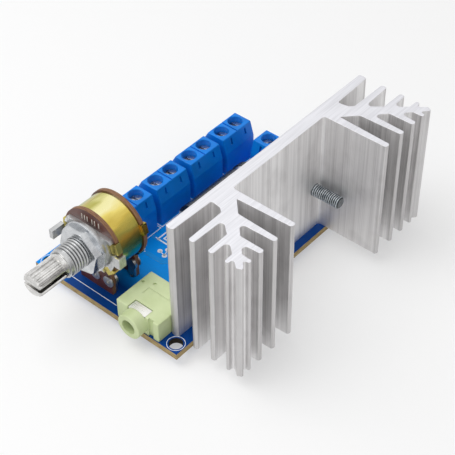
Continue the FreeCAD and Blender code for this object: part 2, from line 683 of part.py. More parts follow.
def block_housing():
    """Moulded housing with, for each pole, a screw well, a ledge, a clamp cavity and a wire entry."""
    length = BLOCK_POLES * BLOCK_PITCH
    outline = [
        Vector(0, -length / 2, 0),
        Vector(0, -length / 2, BLOCK_FRONT_KINK),
        Vector(BLOCK_FRONT_TOP, -length / 2, BLOCK_HEIGHT),
        Vector(BLOCK_BACK_TOP, -length / 2, BLOCK_HEIGHT),
        Vector(BLOCK_DEPTH, -length / 2, BLOCK_BACK_KINK),
        Vector(BLOCK_DEPTH, -length / 2, 0),
    ]
    body = prism(outline, Vector(0, length, 0))
    body = body.makeFillet(BLOCK_EDGE_RADIUS, [edge for edge in body.Edges if not edge_at(edge, "Z", 0)])
    cuts = []
    half = BLOCK_CAVITY_HALF_WIDTH
    for y in pole_places():
        well = Vector(BLOCK_SCREW_DEPTH, y, LEDGE_TOP)
        cuts.append(rod(TERMINAL_BORE_RADIUS, well, BLOCK_HEIGHT, AXIS_Z))
        cuts.append(Part.makeCone(
            TERMINAL_BORE_RADIUS, TERMINAL_BORE_RADIUS + 2 * BLOCK_WELL_BEVEL, 2 * BLOCK_WELL_BEVEL,
            Vector(BLOCK_SCREW_DEPTH, y, BLOCK_HEIGHT - BLOCK_WELL_BEVEL), AXIS_Z))
        ledge = Vector(BLOCK_SCREW_DEPTH, y, BLOCK_CAVITY_HEIGHT - OVERCUT)
        shank = TERMINAL_SHANK_DIAMETER / 2 + TERMINAL_HEAD_CLEARANCE
        cuts.append(rod(shank, ledge, BLOCK_HEIGHT - BLOCK_CAVITY_HEIGHT, AXIS_Z))
        cuts.append(box(
            BLOCK_CAVITY_FRONT, BLOCK_CAVITY_BACK, y - half, y + half, -OVERCUT, BLOCK_CAVITY_HEIGHT))
        cuts.append(wire_entry(y))
        cuts.append(back_slot(y))
    groove = BLOCK_GROOVE_WIDTH / 2
    for y in pole_places()[1:]:
        middle = y - BLOCK_PITCH / 2
        cuts.append(box(
            0, BLOCK_BACK_TOP, middle - groove, middle + groove,
            BLOCK_HEIGHT - BLOCK_GROOVE_DEPTH, BLOCK_HEIGHT + OVERCUT))
    return body.cut(Part.makeCompound(cuts))


def wire_entry(y):
    """Opening for one wire in the front wall, with rounded upper corners."""
    half = WIRE_ENTRY_WIDTH / 2
    hole = box(-OVERCUT, BLOCK_CAVITY_FRONT + EDGE_MATCH, y - half, y + half, WIRE_ENTRY_BOTTOM, WIRE_ENTRY_TOP)

    def upper_corner(edge):
        return edge.BoundBox.XLength > BLOCK_CAVITY_FRONT and edge_at(edge, "Z", WIRE_ENTRY_TOP)

    return hole.makeFillet(WIRE_ENTRY_CORNER, [edge for edge in hole.Edges if upper_corner(edge)])


def back_slot(y):
    """Narrow slot let into the slanted back face over one pole."""
    run = BLOCK_DEPTH - BLOCK_BACK_TOP
    rise = BLOCK_HEIGHT - BLOCK_BACK_KINK
    slant = math.hypot(run, rise)
    middle = Vector(BLOCK_BACK_TOP + run * BLOCK_SLOT_SHARE, y, BLOCK_HEIGHT - rise * BLOCK_SLOT_SHARE)
    down = Vector(run / slant, 0, -rise / slant)
    inward = Vector(-rise / slant, 0, -run / slant)
    top = middle - down * (BLOCK_SLOT_LENGTH / 2) - inward * OVERCUT
    bottom = middle + down * (BLOCK_SLOT_LENGTH / 2) - inward * OVERCUT
    side = Vector(0, -BLOCK_SLOT_WIDTH / 2, 0)
    deep = inward * (BLOCK_SLOT_DEPTH + OVERCUT)
    corners = [top + side, bottom + side, bottom + side + deep, top + side + deep]
    return prism(corners, Vector(0, BLOCK_SLOT_WIDTH, 0))


def terminal_screw(y):
    """Slotted screw that is held between its ledge and the well, and drives the clamp."""
    head_top = BLOCK_HEIGHT - TERMINAL_HEAD_RECESS
    head_bottom = head_top - TERMINAL_HEAD_HEIGHT
    head_start = Vector(BLOCK_SCREW_DEPTH, y, head_bottom)
    head = rod(TERMINAL_HEAD_DIAMETER / 2, head_start, TERMINAL_HEAD_HEIGHT, AXIS_Z)
    head = bevelled_edges(head, TERMINAL_SLOT_DEPTH / 4, lambda edge: edge_at(edge, "Z", head_top))
    shank_start = Vector(BLOCK_SCREW_DEPTH, y, TERMINAL_SHANK_END)
    shank = rod(TERMINAL_SHANK_DIAMETER / 2, shank_start, head_bottom - TERMINAL_SHANK_END, AXIS_Z)
    shank = bevelled_edges(shank, TERMINAL_SLOT_DEPTH / 3, lambda edge: edge_at(edge, "Z", TERMINAL_SHANK_END))
    slot = box(
        BLOCK_SCREW_DEPTH - TERMINAL_HEAD_DIAMETER, BLOCK_SCREW_DEPTH + TERMINAL_HEAD_DIAMETER,
        y - TERMINAL_SLOT_WIDTH / 2, y + TERMINAL_SLOT_WIDTH / 2,
        head_top - TERMINAL_SLOT_DEPTH, head_top + OVERCUT)
    return joined([head, shank]).cut(slot)


def clamp_cage(y):
    """Square ring that the screw lifts, so that its floor presses the wire against the strip."""
    low_x = BLOCK_SCREW_DEPTH - CAGE_DEPTH / 2
    high_x = BLOCK_SCREW_DEPTH + CAGE_DEPTH / 2
    half = CAGE_WIDTH / 2
    top = CAGE_BOTTOM + CAGE_HEIGHT
    block = box(low_x, high_x, y - half, y + half, CAGE_BOTTOM, top)
    along = [edge for edge in block.Edges if edge.BoundBox.XLength > CAGE_DEPTH - EDGE_MATCH]
    block = block.makeFillet(CAGE_CORNER, along)
    window = box(
        low_x - OVERCUT, high_x + OVERCUT, y - half + CAGE_WALL, y + half - CAGE_WALL,
        CAGE_BOTTOM + CAGE_FLOOR, top - CAGE_ROOF)
    thread = rod(
        TERMINAL_SHANK_DIAMETER / 2 + TERMINAL_SHANK_CLEARANCE,
        Vector(BLOCK_SCREW_DEPTH, y, top - CAGE_ROOF - OVERCUT / 2), CAGE_ROOF + OVERCUT, AXIS_Z)
    return block.cut(window).cut(thread)


def block_contacts():
    """For each pole, a strip through the cage's window, bent down behind it into a solder pin."""
    contacts = []
    half = STRIP_WIDTH / 2
    leg_front = STRIP_BACK - STRIP_THICKNESS
    for y in pole_places():
        strip = box(STRIP_FRONT, STRIP_BACK, y - half, y + half, STRIP_HEIGHT, STRIP_HEIGHT + STRIP_THICKNESS)
        leg = box(leg_front, STRIP_BACK, y - half, y + half, 0, STRIP_HEIGHT + STRIP_THICKNESS)
        pin_x, pin_y = block_pin(y)
        pin = rod(
            TERMINAL_PIN_DIAMETER / 2, Vector(pin_x, pin_y, -BOARD_THICKNESS - PIN_REACH),
            BOARD_THICKNESS + PIN_REACH, AXIS_Z)
        contacts.append(joined([strip, leg, pin]))
    return solid_group(contacts)


def block_pin(y):
    """Middle of one pole's solder pin."""
    return (STRIP_BACK - TERMINAL_PIN_DIAMETER / 2, y)


def on_left(shape, number):
    """Set a piece of a speaker block on the board's left side."""
    placed = shape.copy()
    y = Y_FRONT + BLOCK_FIRST_CENTRE + number * BLOCK_SPACING
    placed.translate(Vector(X_LEFT + BLOCK_FRONT_INSET, y, Z_TOP))
    return placed


def at_back(shape):
    """Set a piece of the supply block at the back of the board, turned to face it."""
    placed = shape.copy()
    placed.rotate(Vector(0, 0, 0), AXIS_Z, -90)
    x = X_LEFT + SUPPLY_BLOCK_START + BLOCK_POLES * BLOCK_PITCH / 2
    placed.translate(Vector(x, Y_FRONT + SUPPLY_BLOCK_BACK + BLOCK_DEPTH, Z_TOP))
    return placed


def terminal_nodes():
    """Every piece of the terminal blocks, by name."""
    nodes = {}
    letters = "abcdefgh"
    housing = block_housing()
    contacts = block_contacts()
    for number in range(SPEAKER_BLOCKS):
        label = str(number + 1)
        nodes["speaker_block_" + label] = on_left(housing, number)
        nodes["speaker_contacts_" + label] = on_left(contacts, number)
        for letter, y in zip(letters, pole_places()):
            nodes["speaker_screw_" + label + letter] = on_left(terminal_screw(y), number)
            nodes["speaker_cage_" + label + letter] = on_left(clamp_cage(y), number)
    nodes["supply_block"] = at_back(housing)
    nodes["supply_contacts"] = at_back(contacts)
    for letter, y in zip(letters, pole_places()):
        nodes["supply_screw_" + letter] = at_back(terminal_screw(y))
        nodes["supply_cage_" + letter] = at_back(clamp_cage(y))
    return nodes


def terminal_pins():
    """(x, y, radius) of every terminal pin on the board."""
    radius = TERMINAL_PIN_DIAMETER / 2
    pins = []
    for y in pole_places():
        x, row = block_pin(y)
        marker = Part.Vertex(x, row, 0)
        for number in range(SPEAKER_BLOCKS):
            point = on_left(marker, number).Point
            pins.append((point.x, point.y, radius))
        point = at_back(marker).Point
        pins.append((point.x, point.y, radius))
    return pins


# Volume control. Its shaft points to -Y.

def on_axis(y):
    """Point on the control's axis."""
    return Vector(POT_X, y, POT_Z)


def pot_disc(radius, y_low, y_high):
    """Disc about the control's axis between two places along it."""
    return rod(radius, on_axis(y_low), y_high - y_low, AXIS_Y)


def wafer_blank(y_low, y_high):
    """Resistive wafer: a disc with a straight leg that stands on the board."""
    half = WAFER_LEG_WIDTH / 2
    disc = pot_disc(WAFER_RADIUS, y_low, y_high)
    leg = box(POT_X - half, POT_X + half, y_low, y_high, Z_TOP, POT_Z)
    return joined([disc, leg])


def rivet_places():
    """(x, z) of the three rivets of a wafer."""
    z = Z_TOP + POT_TERMINAL_HEIGHT
    return [(POT_X + step * POT_PIN_PITCH, z) for step in (-1, 0, 1)]


def wafer_rivet_holes(y_low, y_high):
    """Holes through a wafer's leg for its rivets."""
    depth = y_high - y_low + 2 * OVERCUT
    holes = [rod(POT_RIVET_SHANK, Vector(x, y_low - OVERCUT, z), depth, AXIS_Y) for x, z in rivet_places()]
    return Part.makeCompound(holes)


def front_wafer():
    """Wafer behind the mounting plate, with a clear hole for the shaft."""
    blank = wafer_blank(WAFER_FRONT_Y, BARREL_FRONT_Y)
    bore = pot_disc(SHAFT_DIAMETER / 2 + WAFER_BORE_CLEARANCE, WAFER_FRONT_Y, BARREL_FRONT_Y)
    notches = clasp_room(FRONT_CLASP_ANGLES, BARREL_RADIUS - BARREL_WALL, WAFER_FRONT_Y, BARREL_FRONT_Y)
    return blank.cut(bore).cut(wafer_rivet_holes(WAFER_FRONT_Y, BARREL_FRONT_Y)).cut(notches)


def rear_wafer():
    """Wafer that closes the back of the barrel, with a bearing hole for the shaft's tail."""
    back = BARREL_BACK_Y + WAFER_THICKNESS
    blank = wafer_blank(BARREL_BACK_Y, back)
    bearing = pot_disc(WAFER_BOSS_RADIUS + SHAFT_CLEARANCE, BARREL_BACK_Y, back)
    notches = clasp_room(REAR_CLASP_ANGLES, BARREL_RADIUS - BARREL_WALL, BARREL_BACK_Y, back)
    return blank.cut(bearing).cut(wafer_rivet_holes(BARREL_BACK_Y, back)).cut(notches)


def wafer_terminals(face_y, outward, back_y):
    """Three tinned terminals on one face of a wafer, each with an eyelet rivet and a solder pin."""
    terminals = []
    plate_low = min(face_y, face_y + outward * POT_PIN_THICKNESS)
    plate_high = max(face_y, face_y + outward * POT_PIN_THICKNESS)
    head_low = min(back_y, back_y - outward * POT_RIVET_HEAD)
    head_high = max(back_y, back_y - outward * POT_RIVET_HEAD)
    half = POT_TERMINAL_WIDTH / 2
    narrow = POT_PIN_WIDTH / 2
    for x, z in rivet_places():
        plate = rod(POT_RIVET_RADIUS, Vector(x, plate_low, z), POT_PIN_THICKNESS, AXIS_Y)
        neck = box(x - half, x + half, plate_low, plate_high, Z_TOP + POT_RIVET_HEAD, z)
        pin = box(x - narrow, x + narrow, plate_low, plate_high, -PIN_REACH, z)
        shank = rod(POT_RIVET_SHANK, Vector(x, min(face_y, back_y), z), abs(face_y - back_y), AXIS_Y)
        head = rod(POT_RIVET_RADIUS, Vector(x, head_low, z), head_high - head_low, AXIS_Y)
        dimple = rod(POT_RIVET_DIMPLE, Vector(x, head_low - OVERCUT, z), OVERCUT + POT_RIVET_HEAD, AXIS_Y)
        if outward < 0:
            dimple = rod(POT_RIVET_DIMPLE, Vector(x, back_y, z), OVERCUT + POT_RIVET_HEAD, AXIS_Y)
        terminals.append(joined([plate, neck, pin, shank, head]).cut(dimple))
    return solid_group(terminals)


def front_terminals():
    """Terminals behind the front wafer, with their rivet heads in front of it."""
    return wafer_terminals(BARREL_FRONT_Y, 1, WAFER_FRONT_Y)


def rear_terminals():
    """Terminals in front of the rear wafer, with their rivet heads behind it."""
    return wafer_terminals(BARREL_BACK_Y, -1, BARREL_BACK_Y + WAFER_THICKNESS)


def pot_pins():
    """(x, y, radius) of every solder pin of the volume control."""
    radius = math.hypot(POT_PIN_WIDTH, POT_PIN_THICKNESS) / 2
    rows = (BARREL_FRONT_Y + POT_PIN_THICKNESS / 2, BARREL_BACK_Y - POT_PIN_THICKNESS / 2)
    return [(x, y, radius) for x, z in rivet_places() for y in rows]


def clasp(angle, y_face, outward):
    """Tongue of the barrel that runs through a wafer's notch and is folded down onto its far face."""
    half = CLASP_WIDTH / 2
    run_low = min(0, outward * WAFER_THICKNESS)
    run = box(BARREL_RADIUS - BARREL_WALL, CLASP_OUTER, run_low, run_low + WAFER_THICKNESS, -half, half)
    fold_low = WAFER_THICKNESS if outward > 0 else -WAFER_THICKNESS - CLASP_THICKNESS
    fold = box(CLASP_INNER, CLASP_OUTER, fold_low, fold_low + CLASP_THICKNESS, -half, half)
    tongue = joined([run, fold])
    tongue.rotate(Vector(0, 0, 0), AXIS_Y, -angle)
    tongue.translate(on_axis(y_face))
    return tongue


def barrel():
    """Plated barrel between the wafers, open underneath, with tongues folded over both wafers."""
    outer = pot_disc(BARREL_RADIUS, BARREL_FRONT_Y, BARREL_BACK_Y)
    inner = pot_disc(BARREL_RADIUS - BARREL_WALL, BARREL_FRONT_Y, BARREL_BACK_Y)
    ring = outer.cut(inner)
    half_angle = math.radians(BARREL_OPENING_ANGLE / 2)
    spread = 2 * WAFER_RADIUS * math.tan(half_angle)
    wedge = prism([
        on_axis(BARREL_FRONT_Y),
        on_axis(BARREL_FRONT_Y) + Vector(-spread, 0, -2 * WAFER_RADIUS),
        on_axis(BARREL_FRONT_Y) + Vector(spread, 0, -2 * WAFER_RADIUS),
    ], Vector(0, BARREL_LENGTH, 0))
    pieces = [ring.cut(wedge)]
    pieces += [clasp(angle, BARREL_FRONT_Y, -1) for angle in FRONT_CLASP_ANGLES]
    pieces += [clasp(angle, BARREL_BACK_Y, 1) for angle in REAR_CLASP_ANGLES]
    return joined(pieces)


def plate_front_y():
    """Front of the boss on the mounting plate."""
    return PLATE_FRONT_Y - BOSS_THICKNESS


def mounting_plate():
    """Die-cast plate with a threaded bushing on a boss, a flat top, a folded ear and a locating lug."""
    disc = pot_disc(MOUNTING_PLATE_RADIUS, PLATE_FRONT_Y, WAFER_FRONT_Y)
    keep = box(
        POT_X - 2 * MOUNTING_PLATE_RADIUS, POT_X + 2 * MOUNTING_PLATE_RADIUS, PLATE_FRONT_Y, WAFER_FRONT_Y,
        POT_Z - MOUNTING_PLATE_BOTTOM, POT_Z + MOUNTING_PLATE_TOP)
    plate = disc.common(keep)
    boss = pot_disc(BOSS_DIAMETER / 2, plate_front_y(), PLATE_FRONT_Y)
    lug_x = POT_X - LUG_FROM_AXIS
    lug_low = POT_Z + LUG_RISE - LUG_HEIGHT / 2
    lug = box(
        lug_x, lug_x + LUG_WIDTH, PLATE_FRONT_Y - LUG_REACH, WAFER_FRONT_Y, lug_low, lug_low + LUG_HEIGHT)
    lug_web = box(lug_x, POT_X, PLATE_FRONT_Y, WAFER_FRONT_Y, lug_low, lug_low + LUG_HEIGHT)
    ear_top = POT_Z + MOUNTING_EAR_TOP
    ear_bottom = ear_top - MOUNTING_EAR_HEIGHT
    ear_end = POT_X + MOUNTING_EAR_REACH
    ear = box(POT_X, ear_end, PLATE_FRONT_Y, WAFER_FRONT_Y, ear_bottom, ear_top)
    fold = box(
        ear_end - MOUNTING_EAR_THICKNESS, ear_end, PLATE_FRONT_Y, WAFER_FRONT_Y + MOUNTING_EAR_FOLD,
        ear_bottom, ear_top)
    bushing_front = plate_front_y() - BUSHING_LENGTH
    bushing = pot_disc(BUSHING_DIAMETER / 2, bushing_front, plate_front_y())
    bushing = bushing.cut(thread_grooves(
        BUSHING_DIAMETER / 2, BUSHING_THREAD_DEPTH, BUSHING_THREAD_PITCH,
        on_axis(bushing_front), BUSHING_LENGTH, AXIS_Y))
    collar = pot_disc(BUSHING_COLLAR_DIAMETER / 2, bushing_front - BUSHING_COLLAR_LENGTH, bushing_front)
    body = joined([plate, boss, lug, lug_web, ear, fold, bushing, collar])
    bore = pot_disc(SHAFT_DIAMETER / 2 + SHAFT_CLEARANCE, bushing_front - BUSHING_COLLAR_LENGTH, WAFER_FRONT_Y)
    return body.cut(bore).cut(clasp_room(FRONT_CLASP_ANGLES, CLASP_INNER, PLATE_FRONT_Y, WAFER_FRONT_Y))


def clasp_room(angles, inner, y_low, y_high):
    """Room for the barrel's tongues, from a radius outwards, between two places along the axis."""
    half = CLASP_WIDTH / 2 + WAFER_NOTCH_CLEARANCE
    pockets = []
    for angle in angles:
        pocket = box(inner - WAFER_NOTCH_CLEARANCE, 2 * WAFER_RADIUS, 0, y_high - y_low, -half, half)
        pocket.rotate(Vector(0, 0, 0), AXIS_Y, -angle)
        pocket.translate(on_axis(y_low))
        pockets.append(pocket)
    return Part.makeCompound(pockets)


def pot_washer():
    """Thin washer between the nut and the mounting plate."""
    back = plate_front_y()
    front = back - POT_WASHER_THICKNESS
    disc = pot_disc(POT_WASHER_DIAMETER / 2, front, back)
    return disc.cut(pot_disc(BUSHING_DIAMETER / 2 + BUSHING_CLEARANCE, front, back))


def pot_nut():
    """Hexagon nut on the bushing, its corners rounded off on both faces."""
    back = plate_front_y() - POT_WASHER_THICKNESS
    front = back - NUT_THICKNESS
    corner = NUT_ACROSS_FLATS / 2 / math.cos(math.pi / 6)
    points = []
    for number in range(6):
        angle = math.radians(60 * number + NUT_TURN)
        points.append(on_axis(front) + Vector(corner * math.cos(angle), 0, corner * math.sin(angle)))
    hexagon = prism(points, Vector(0, NUT_THICKNESS, 0))
    cone_low = Part.makeCone(
        corner - NUT_CHAMFER, corner - NUT_CHAMFER + NUT_THICKNESS, NUT_THICKNESS, on_axis(front), AXIS_Y)
    cone_high = Part.makeCone(
        corner - NUT_CHAMFER, corner - NUT_CHAMFER + NUT_THICKNESS, NUT_THICKNESS, on_axis(back), -AXIS_Y)
    body = hexagon.common(cone_low).common(cone_high)
    return body.cut(pot_disc(BUSHING_DIAMETER / 2 + BUSHING_CLEARANCE, front, back))


def spindle_back():
    """Back end of the shaft's tail inside the rear wafer."""
    return BARREL_BACK_Y + WAFER_THICKNESS - SPINDLE_END_GAP


def pot_shaft():
    """Shaft with a splined and split end, a shoulder behind the bushing and a thin tail."""
    tip = PLATE_FRONT_Y - SHAFT_REACH
    spline_end = tip + SHAFT_SPLINE_LENGTH
    shoulder = BARREL_FRONT_Y + ROTOR_WAFER_GAP
    points = []
    for tooth in range(SHAFT_SPLINE_TEETH):
        for share, radius in ((0.0, SHAFT_DIAMETER / 2), (0.35, SHAFT_DIAMETER / 2),
                              (0.5, SHAFT_DIAMETER / 2 - SHAFT_SPLINE_DEPTH),
                              (0.85, SHAFT_DIAMETER / 2 - SHAFT_SPLINE_DEPTH)):
            angle = 2 * math.pi * (tooth + share) / SHAFT_SPLINE_TEETH
            points.append(on_axis(tip) + Vector(radius * math.cos(angle), 0, radius * math.sin(angle)))
    splines = prism(points, Vector(0, SHAFT_SPLINE_LENGTH, 0))
    cone = Part.makeCone(
        SHAFT_DIAMETER / 2 - SHAFT_TIP_CHAMFER, SHAFT_DIAMETER / 2 - SHAFT_TIP_CHAMFER + SHAFT_SPLINE_LENGTH,
        SHAFT_SPLINE_LENGTH, on_axis(tip), AXIS_Y)
    splines = splines.common(cone)
    plain = pot_disc(SHAFT_DIAMETER / 2, spline_end, shoulder)
    tail = pot_disc(SPINDLE_DIAMETER / 2, shoulder, spindle_back())
    half = SHAFT_SLOT_WIDTH / 2
    slot = box(
        POT_X - SHAFT_DIAMETER, POT_X + SHAFT_DIAMETER, tip - OVERCUT, tip + SHAFT_SLOT_LENGTH,
        POT_Z - half, POT_Z + half)
    return joined([splines, plain, tail]).cut(slot)


def rotor_faces():
    """Front and back places of the two rotor discs."""
    front = BARREL_FRONT_Y + ROTOR_WAFER_GAP
    back = BARREL_BACK_Y - POT_PIN_THICKNESS - ROTOR_WAFER_GAP
    return front, back


def pot_rotor():
    """Moulded spool on the shaft's tail: a disc behind the front wafer and one before the rear."""
    front, back = rotor_faces()
    spool = joined([
        pot_disc(ROTOR_RADIUS, front, front + ROTOR_THICKNESS),
        pot_disc(ROTOR_RADIUS, back - ROTOR_THICKNESS, back),
        pot_disc(ROTOR_HUB_RADIUS, front, back),
    ])
    return spool.cut(pot_disc(SPINDLE_DIAMETER / 2, front, back))


def wiper(y_low):
    """Part ring of thin spring metal on one rotor face."""
    ring = pot_disc(WIPER_OUTER, y_low, y_low + WIPER_THICKNESS)
    ring = ring.cut(pot_disc(WIPER_INNER, y_low, y_low + WIPER_THICKNESS))
    half_angle = math.radians(WIPER_ANGLE / 2)
    spread = 2 * WIPER_OUTER * math.tan(half_angle)
    wedge = prism([
        on_axis(y_low),
        on_axis(y_low) + Vector(-spread, 0, 2 * WIPER_OUTER),
        on_axis(y_low) + Vector(spread, 0, 2 * WIPER_OUTER),
    ], Vector(0, WIPER_THICKNESS, 0))
    return ring.common(wedge)


def pot_wipers():
    """The two wipers, one towards each wafer."""
    front, back = rotor_faces()
    return solid_group([wiper(front - WIPER_THICKNESS), wiper(back)])


# Input jack. Its barrel points to -Y.

def jack_point(from_left, from_front, height):
    """Point given from the housing's left side, its front face and the board."""
    return Vector(JACK_X + from_left, JACK_Y + from_front, Z_TOP + height)


def jack_box(left, right, front, back, low, high):
    """Block placed from the housing's left side, its front face and the board."""
    start = jack_point(left, front, low)
    end = jack_point(right, back, high)
    return box(start.x, end.x, start.y, end.y, start.z, end.z)


def jack_housing():
    """Moulded housing with a plug barrel, a hood over it, a contact window and a chamber."""
    body = jack_box(0, JACK_WIDTH, 0, JACK_LENGTH, 0, JACK_HEIGHT)
    body = body.makeFillet(JACK_EDGE_RADIUS, [edge for edge in body.Edges if not edge_at(edge, "Z", Z_TOP)])
    axis = Vector(JACK_AXIS_X, JACK_Y - JACK_BARREL_REACH, JACK_AXIS_Z)
    tube = rod(JACK_BARREL_RADIUS, axis, JACK_BARREL_REACH, AXIS_Y)
    tube = tube.makeFillet(JACK_EDGE_RADIUS, [edge for edge in tube.Edges if edge_at(edge, "Y", axis.y)])
    tube = tube.cut(jack_board_relief())
    chamber = jack_box(
        JACK_WALL, JACK_WIDTH - JACK_WALL, JACK_FRONT_WALL, JACK_LENGTH - JACK_WALL,
        -OVERCUT, JACK_HEIGHT - JACK_WALL)
    bore = rod(JACK_BORE_RADIUS, axis, JACK_BARREL_REACH + JACK_LENGTH - JACK_WALL, AXIS_Y)
    window = jack_box(
        JACK_WINDOW_LEFT, JACK_WINDOW_LEFT + JACK_WINDOW_WIDTH, 0, JACK_WINDOW_LENGTH,
        JACK_HEIGHT - JACK_WALL, JACK_HEIGHT + OVERCUT)
    notch_right = JACK_WIDTH - JACK_NOTCH_FROM_RIGHT
    notch = jack_box(
        notch_right - JACK_NOTCH_WIDTH, notch_right, -OVERCUT, JACK_NOTCH_DEPTH,
        -OVERCUT, JACK_HEIGHT + OVERCUT)
    peeps = []
    for left, front in JACK_PEEP_HOLES:
        peeps.append(rod(
            JACK_PEEP_RADIUS, jack_point(left, front, JACK_HEIGHT - JACK_PEEP_DEPTH),
            2 * OVERCUT, AXIS_Z))
    mark_left, mark_back = JACK_MARK_CORNER
    low = JACK_HEIGHT - JACK_MARK_DEPTH
    mark = joined([
        jack_box(
            mark_left, mark_left + JACK_MARK_LENGTH, mark_back - JACK_MARK_WIDTH, mark_back,
            low, JACK_HEIGHT + OVERCUT),
        jack_box(
            mark_left, mark_left + JACK_MARK_WIDTH, mark_back - JACK_MARK_LENGTH / 3, mark_back,
            low, JACK_HEIGHT + OVERCUT),
    ])
    cuts = [chamber, bore, window, notch, mark] + peeps
    return joined([body, tube]).cut(Part.makeCompound(cuts))


def jack_board_relief():
    """Space of the board under the barrel's front overhang."""
    return box(X_LEFT, X_RIGHT, Y_FRONT, Y_BACK, 0, Z_TOP)


def jack_sleeve_contact():
    """Plated strip in the window, with a leg beside the plug bore down to a solder pin."""
    low = JACK_BARREL_HEIGHT + JACK_BORE_RADIUS + JACK_SPRING_GAP
    top = low + JACK_SPRING_THICKNESS
    back = JACK_WINDOW_LENGTH - JACK_SPRING_GAP
    leg_front = JACK_FRONT_WALL + JACK_SPRING_GAP
    left = JACK_WINDOW_LEFT + JACK_SPRING_GAP
    right = JACK_WINDOW_LEFT + JACK_WINDOW_WIDTH - JACK_SPRING_GAP
    strip = jack_box(left, right, JACK_SLEEVE_FRONT, back, low, top)
    leg = jack_box(left, left + JACK_SPRING_THICKNESS, leg_front, back, 0, top)
    pin = jack_box(
        left, left + JACK_SPRING_THICKNESS, leg_front, leg_front + JACK_PIN_WIDTH,
        -BOARD_THICKNESS - PIN_REACH, 0)
    return joined([strip, leg, pin])


def jack_side_spring(side, front):
    """Leaf spring beside the plug bore, bowed towards it, with a solder pin below its root."""
    root = JACK_WIDTH / 2 + side * (JACK_WIDTH / 2 - JACK_WALL - JACK_SPRING_GAP)
    inner = JACK_WIDTH / 2 + side * (JACK_BORE_RADIUS + JACK_SPRING_GAP + JACK_SPRING_THICKNESS)
    thick = side * JACK_SPRING_THICKNESS
    long = JACK_LENGTH - JACK_WALL - JACK_SPRING_GAP
    back_points = [
        (root, long), (root, front + JACK_SPRING_WIDTH), (inner, front), (root, front - JACK_SPRING_RAMP)]
    inner_points = [
        (root - thick, front - JACK_SPRING_RAMP), (inner - thick, front),
        (root - thick, front + JACK_SPRING_WIDTH), (root - thick, long)]
    low = JACK_BARREL_HEIGHT - JACK_SPRING_WIDTH / 2
    outline = [jack_point(left, depth, low) for left, depth in back_points + inner_points]
    leaf = prism(outline, Vector(0, 0, JACK_SPRING_WIDTH))
    pin = jack_box(
        min(root, root - thick), max(root, root - thick), long - JACK_PIN_WIDTH, long,
        -BOARD_THICKNESS - PIN_REACH, low + JACK_SPRING_WIDTH / 2)
    return joined([leaf, pin])


def jack_pins():
    """(x, y, radius) of every solder pin of the jack."""
    radius = math.hypot(JACK_PIN_WIDTH, JACK_SPRING_THICKNESS) / 2
    half = JACK_SPRING_THICKNESS / 2
    sleeve = JACK_WINDOW_LEFT + JACK_SPRING_GAP + half
    left = JACK_WALL + JACK_SPRING_GAP + half
    right = JACK_WIDTH - left
    front = JACK_FRONT_WALL + JACK_SPRING_GAP + JACK_PIN_WIDTH / 2
    back = JACK_LENGTH - JACK_WALL - JACK_SPRING_GAP - JACK_PIN_WIDTH / 2
    points = [jack_point(sleeve, front, 0), jack_point(left, back, 0), jack_point(right, back, 0)]
    return [(point.x, point.y, radius) for point in points]


# Supply capacitor

def can_ring(radius, inner, start, reach):
    """Tube about the capacitor's axis."""
    origin = Vector(CAPACITOR_X, start, CAPACITOR_Z)
    outer = rod(radius, origin, reach, AXIS_Y)
    return outer.cut(rod(inner, origin, reach, AXIS_Y)) if inner > 0 else outer


def bead_tool(radius, depth):
    """Ring that presses the bead into the can or its sleeve."""
    centre_y = CAPACITOR_Y + CAPACITOR_LENGTH - CAPACITOR_BEAD_FROM_BACK
    return Part.makeTorus(radius + depth, depth * 2, Vector(CAPACITOR_X, centre_y, CAPACITOR_Z), AXIS_Y)


def capacitor_sleeve():
    """Shrunk sleeve around the can, curled over the rim of both ends."""
    radius = CAPACITOR_DIAMETER / 2
    tube = can_ring(radius, radius - CAPACITOR_SLEEVE, CAPACITOR_Y, CAPACITOR_LENGTH)
    curl = can_ring(radius, radius - CAPACITOR_RIM, CAPACITOR_Y - CAPACITOR_SLEEVE, CAPACITOR_SLEEVE)
    return joined([tube, curl]).cut(bead_tool(radius, CAPACITOR_BEAD_DEPTH))


def capacitor_can():
    """Drawn aluminium can, open at the back, with a cross pressed into its closed front end."""
    radius = CAPACITOR_DIAMETER / 2 - CAPACITOR_SLEEVE
    can = can_ring(radius, 0, CAPACITOR_Y, CAPACITOR_LENGTH)
    depth = CAPACITOR_BUNG_LENGTH
    mouth_y = CAPACITOR_Y + CAPACITOR_LENGTH - depth
    mouth = can_ring(radius - CAPACITOR_CAN_WALL - CAPACITOR_BEAD_DEPTH, 0, mouth_y, depth)
    can = can.cut(bead_tool(radius + CAPACITOR_SLEEVE, CAPACITOR_BEAD_DEPTH + CAPACITOR_SLEEVE))
    half = CAPACITOR_VENT_WIDTH / 2
    arm = radius - CAPACITOR_RIM
    front = CAPACITOR_Y
    deep = front + CAPACITOR_VENT_DEPTH
    cross = [
        box(CAPACITOR_X - arm, CAPACITOR_X + arm, front, deep, CAPACITOR_Z - half, CAPACITOR_Z + half),
        box(CAPACITOR_X - half, CAPACITOR_X + half, front, deep, CAPACITOR_Z - arm, CAPACITOR_Z + arm),
    ]
    return can.cut(mouth).cut(joined(cross))


def capacitor_bung():
    """Rubber bung in the can's mouth."""
    radius = CAPACITOR_DIAMETER / 2 - CAPACITOR_SLEEVE - CAPACITOR_CAN_WALL - CAPACITOR_BEAD_DEPTH
    start = CAPACITOR_Y + CAPACITOR_LENGTH - CAPACITOR_BUNG_LENGTH
    return can_ring(radius, 0, start, CAPACITOR_BUNG_LENGTH)


def capacitor_lead_ends():
    """(x, y) of the leads' feet."""
    y = CAPACITOR_Y + CAPACITOR_LENGTH + CAPACITOR_LEAD_BEND
    half = CAPACITOR_LEAD_PITCH / 2
    return [(CAPACITOR_X - half, y), (CAPACITOR_X + half, y)]


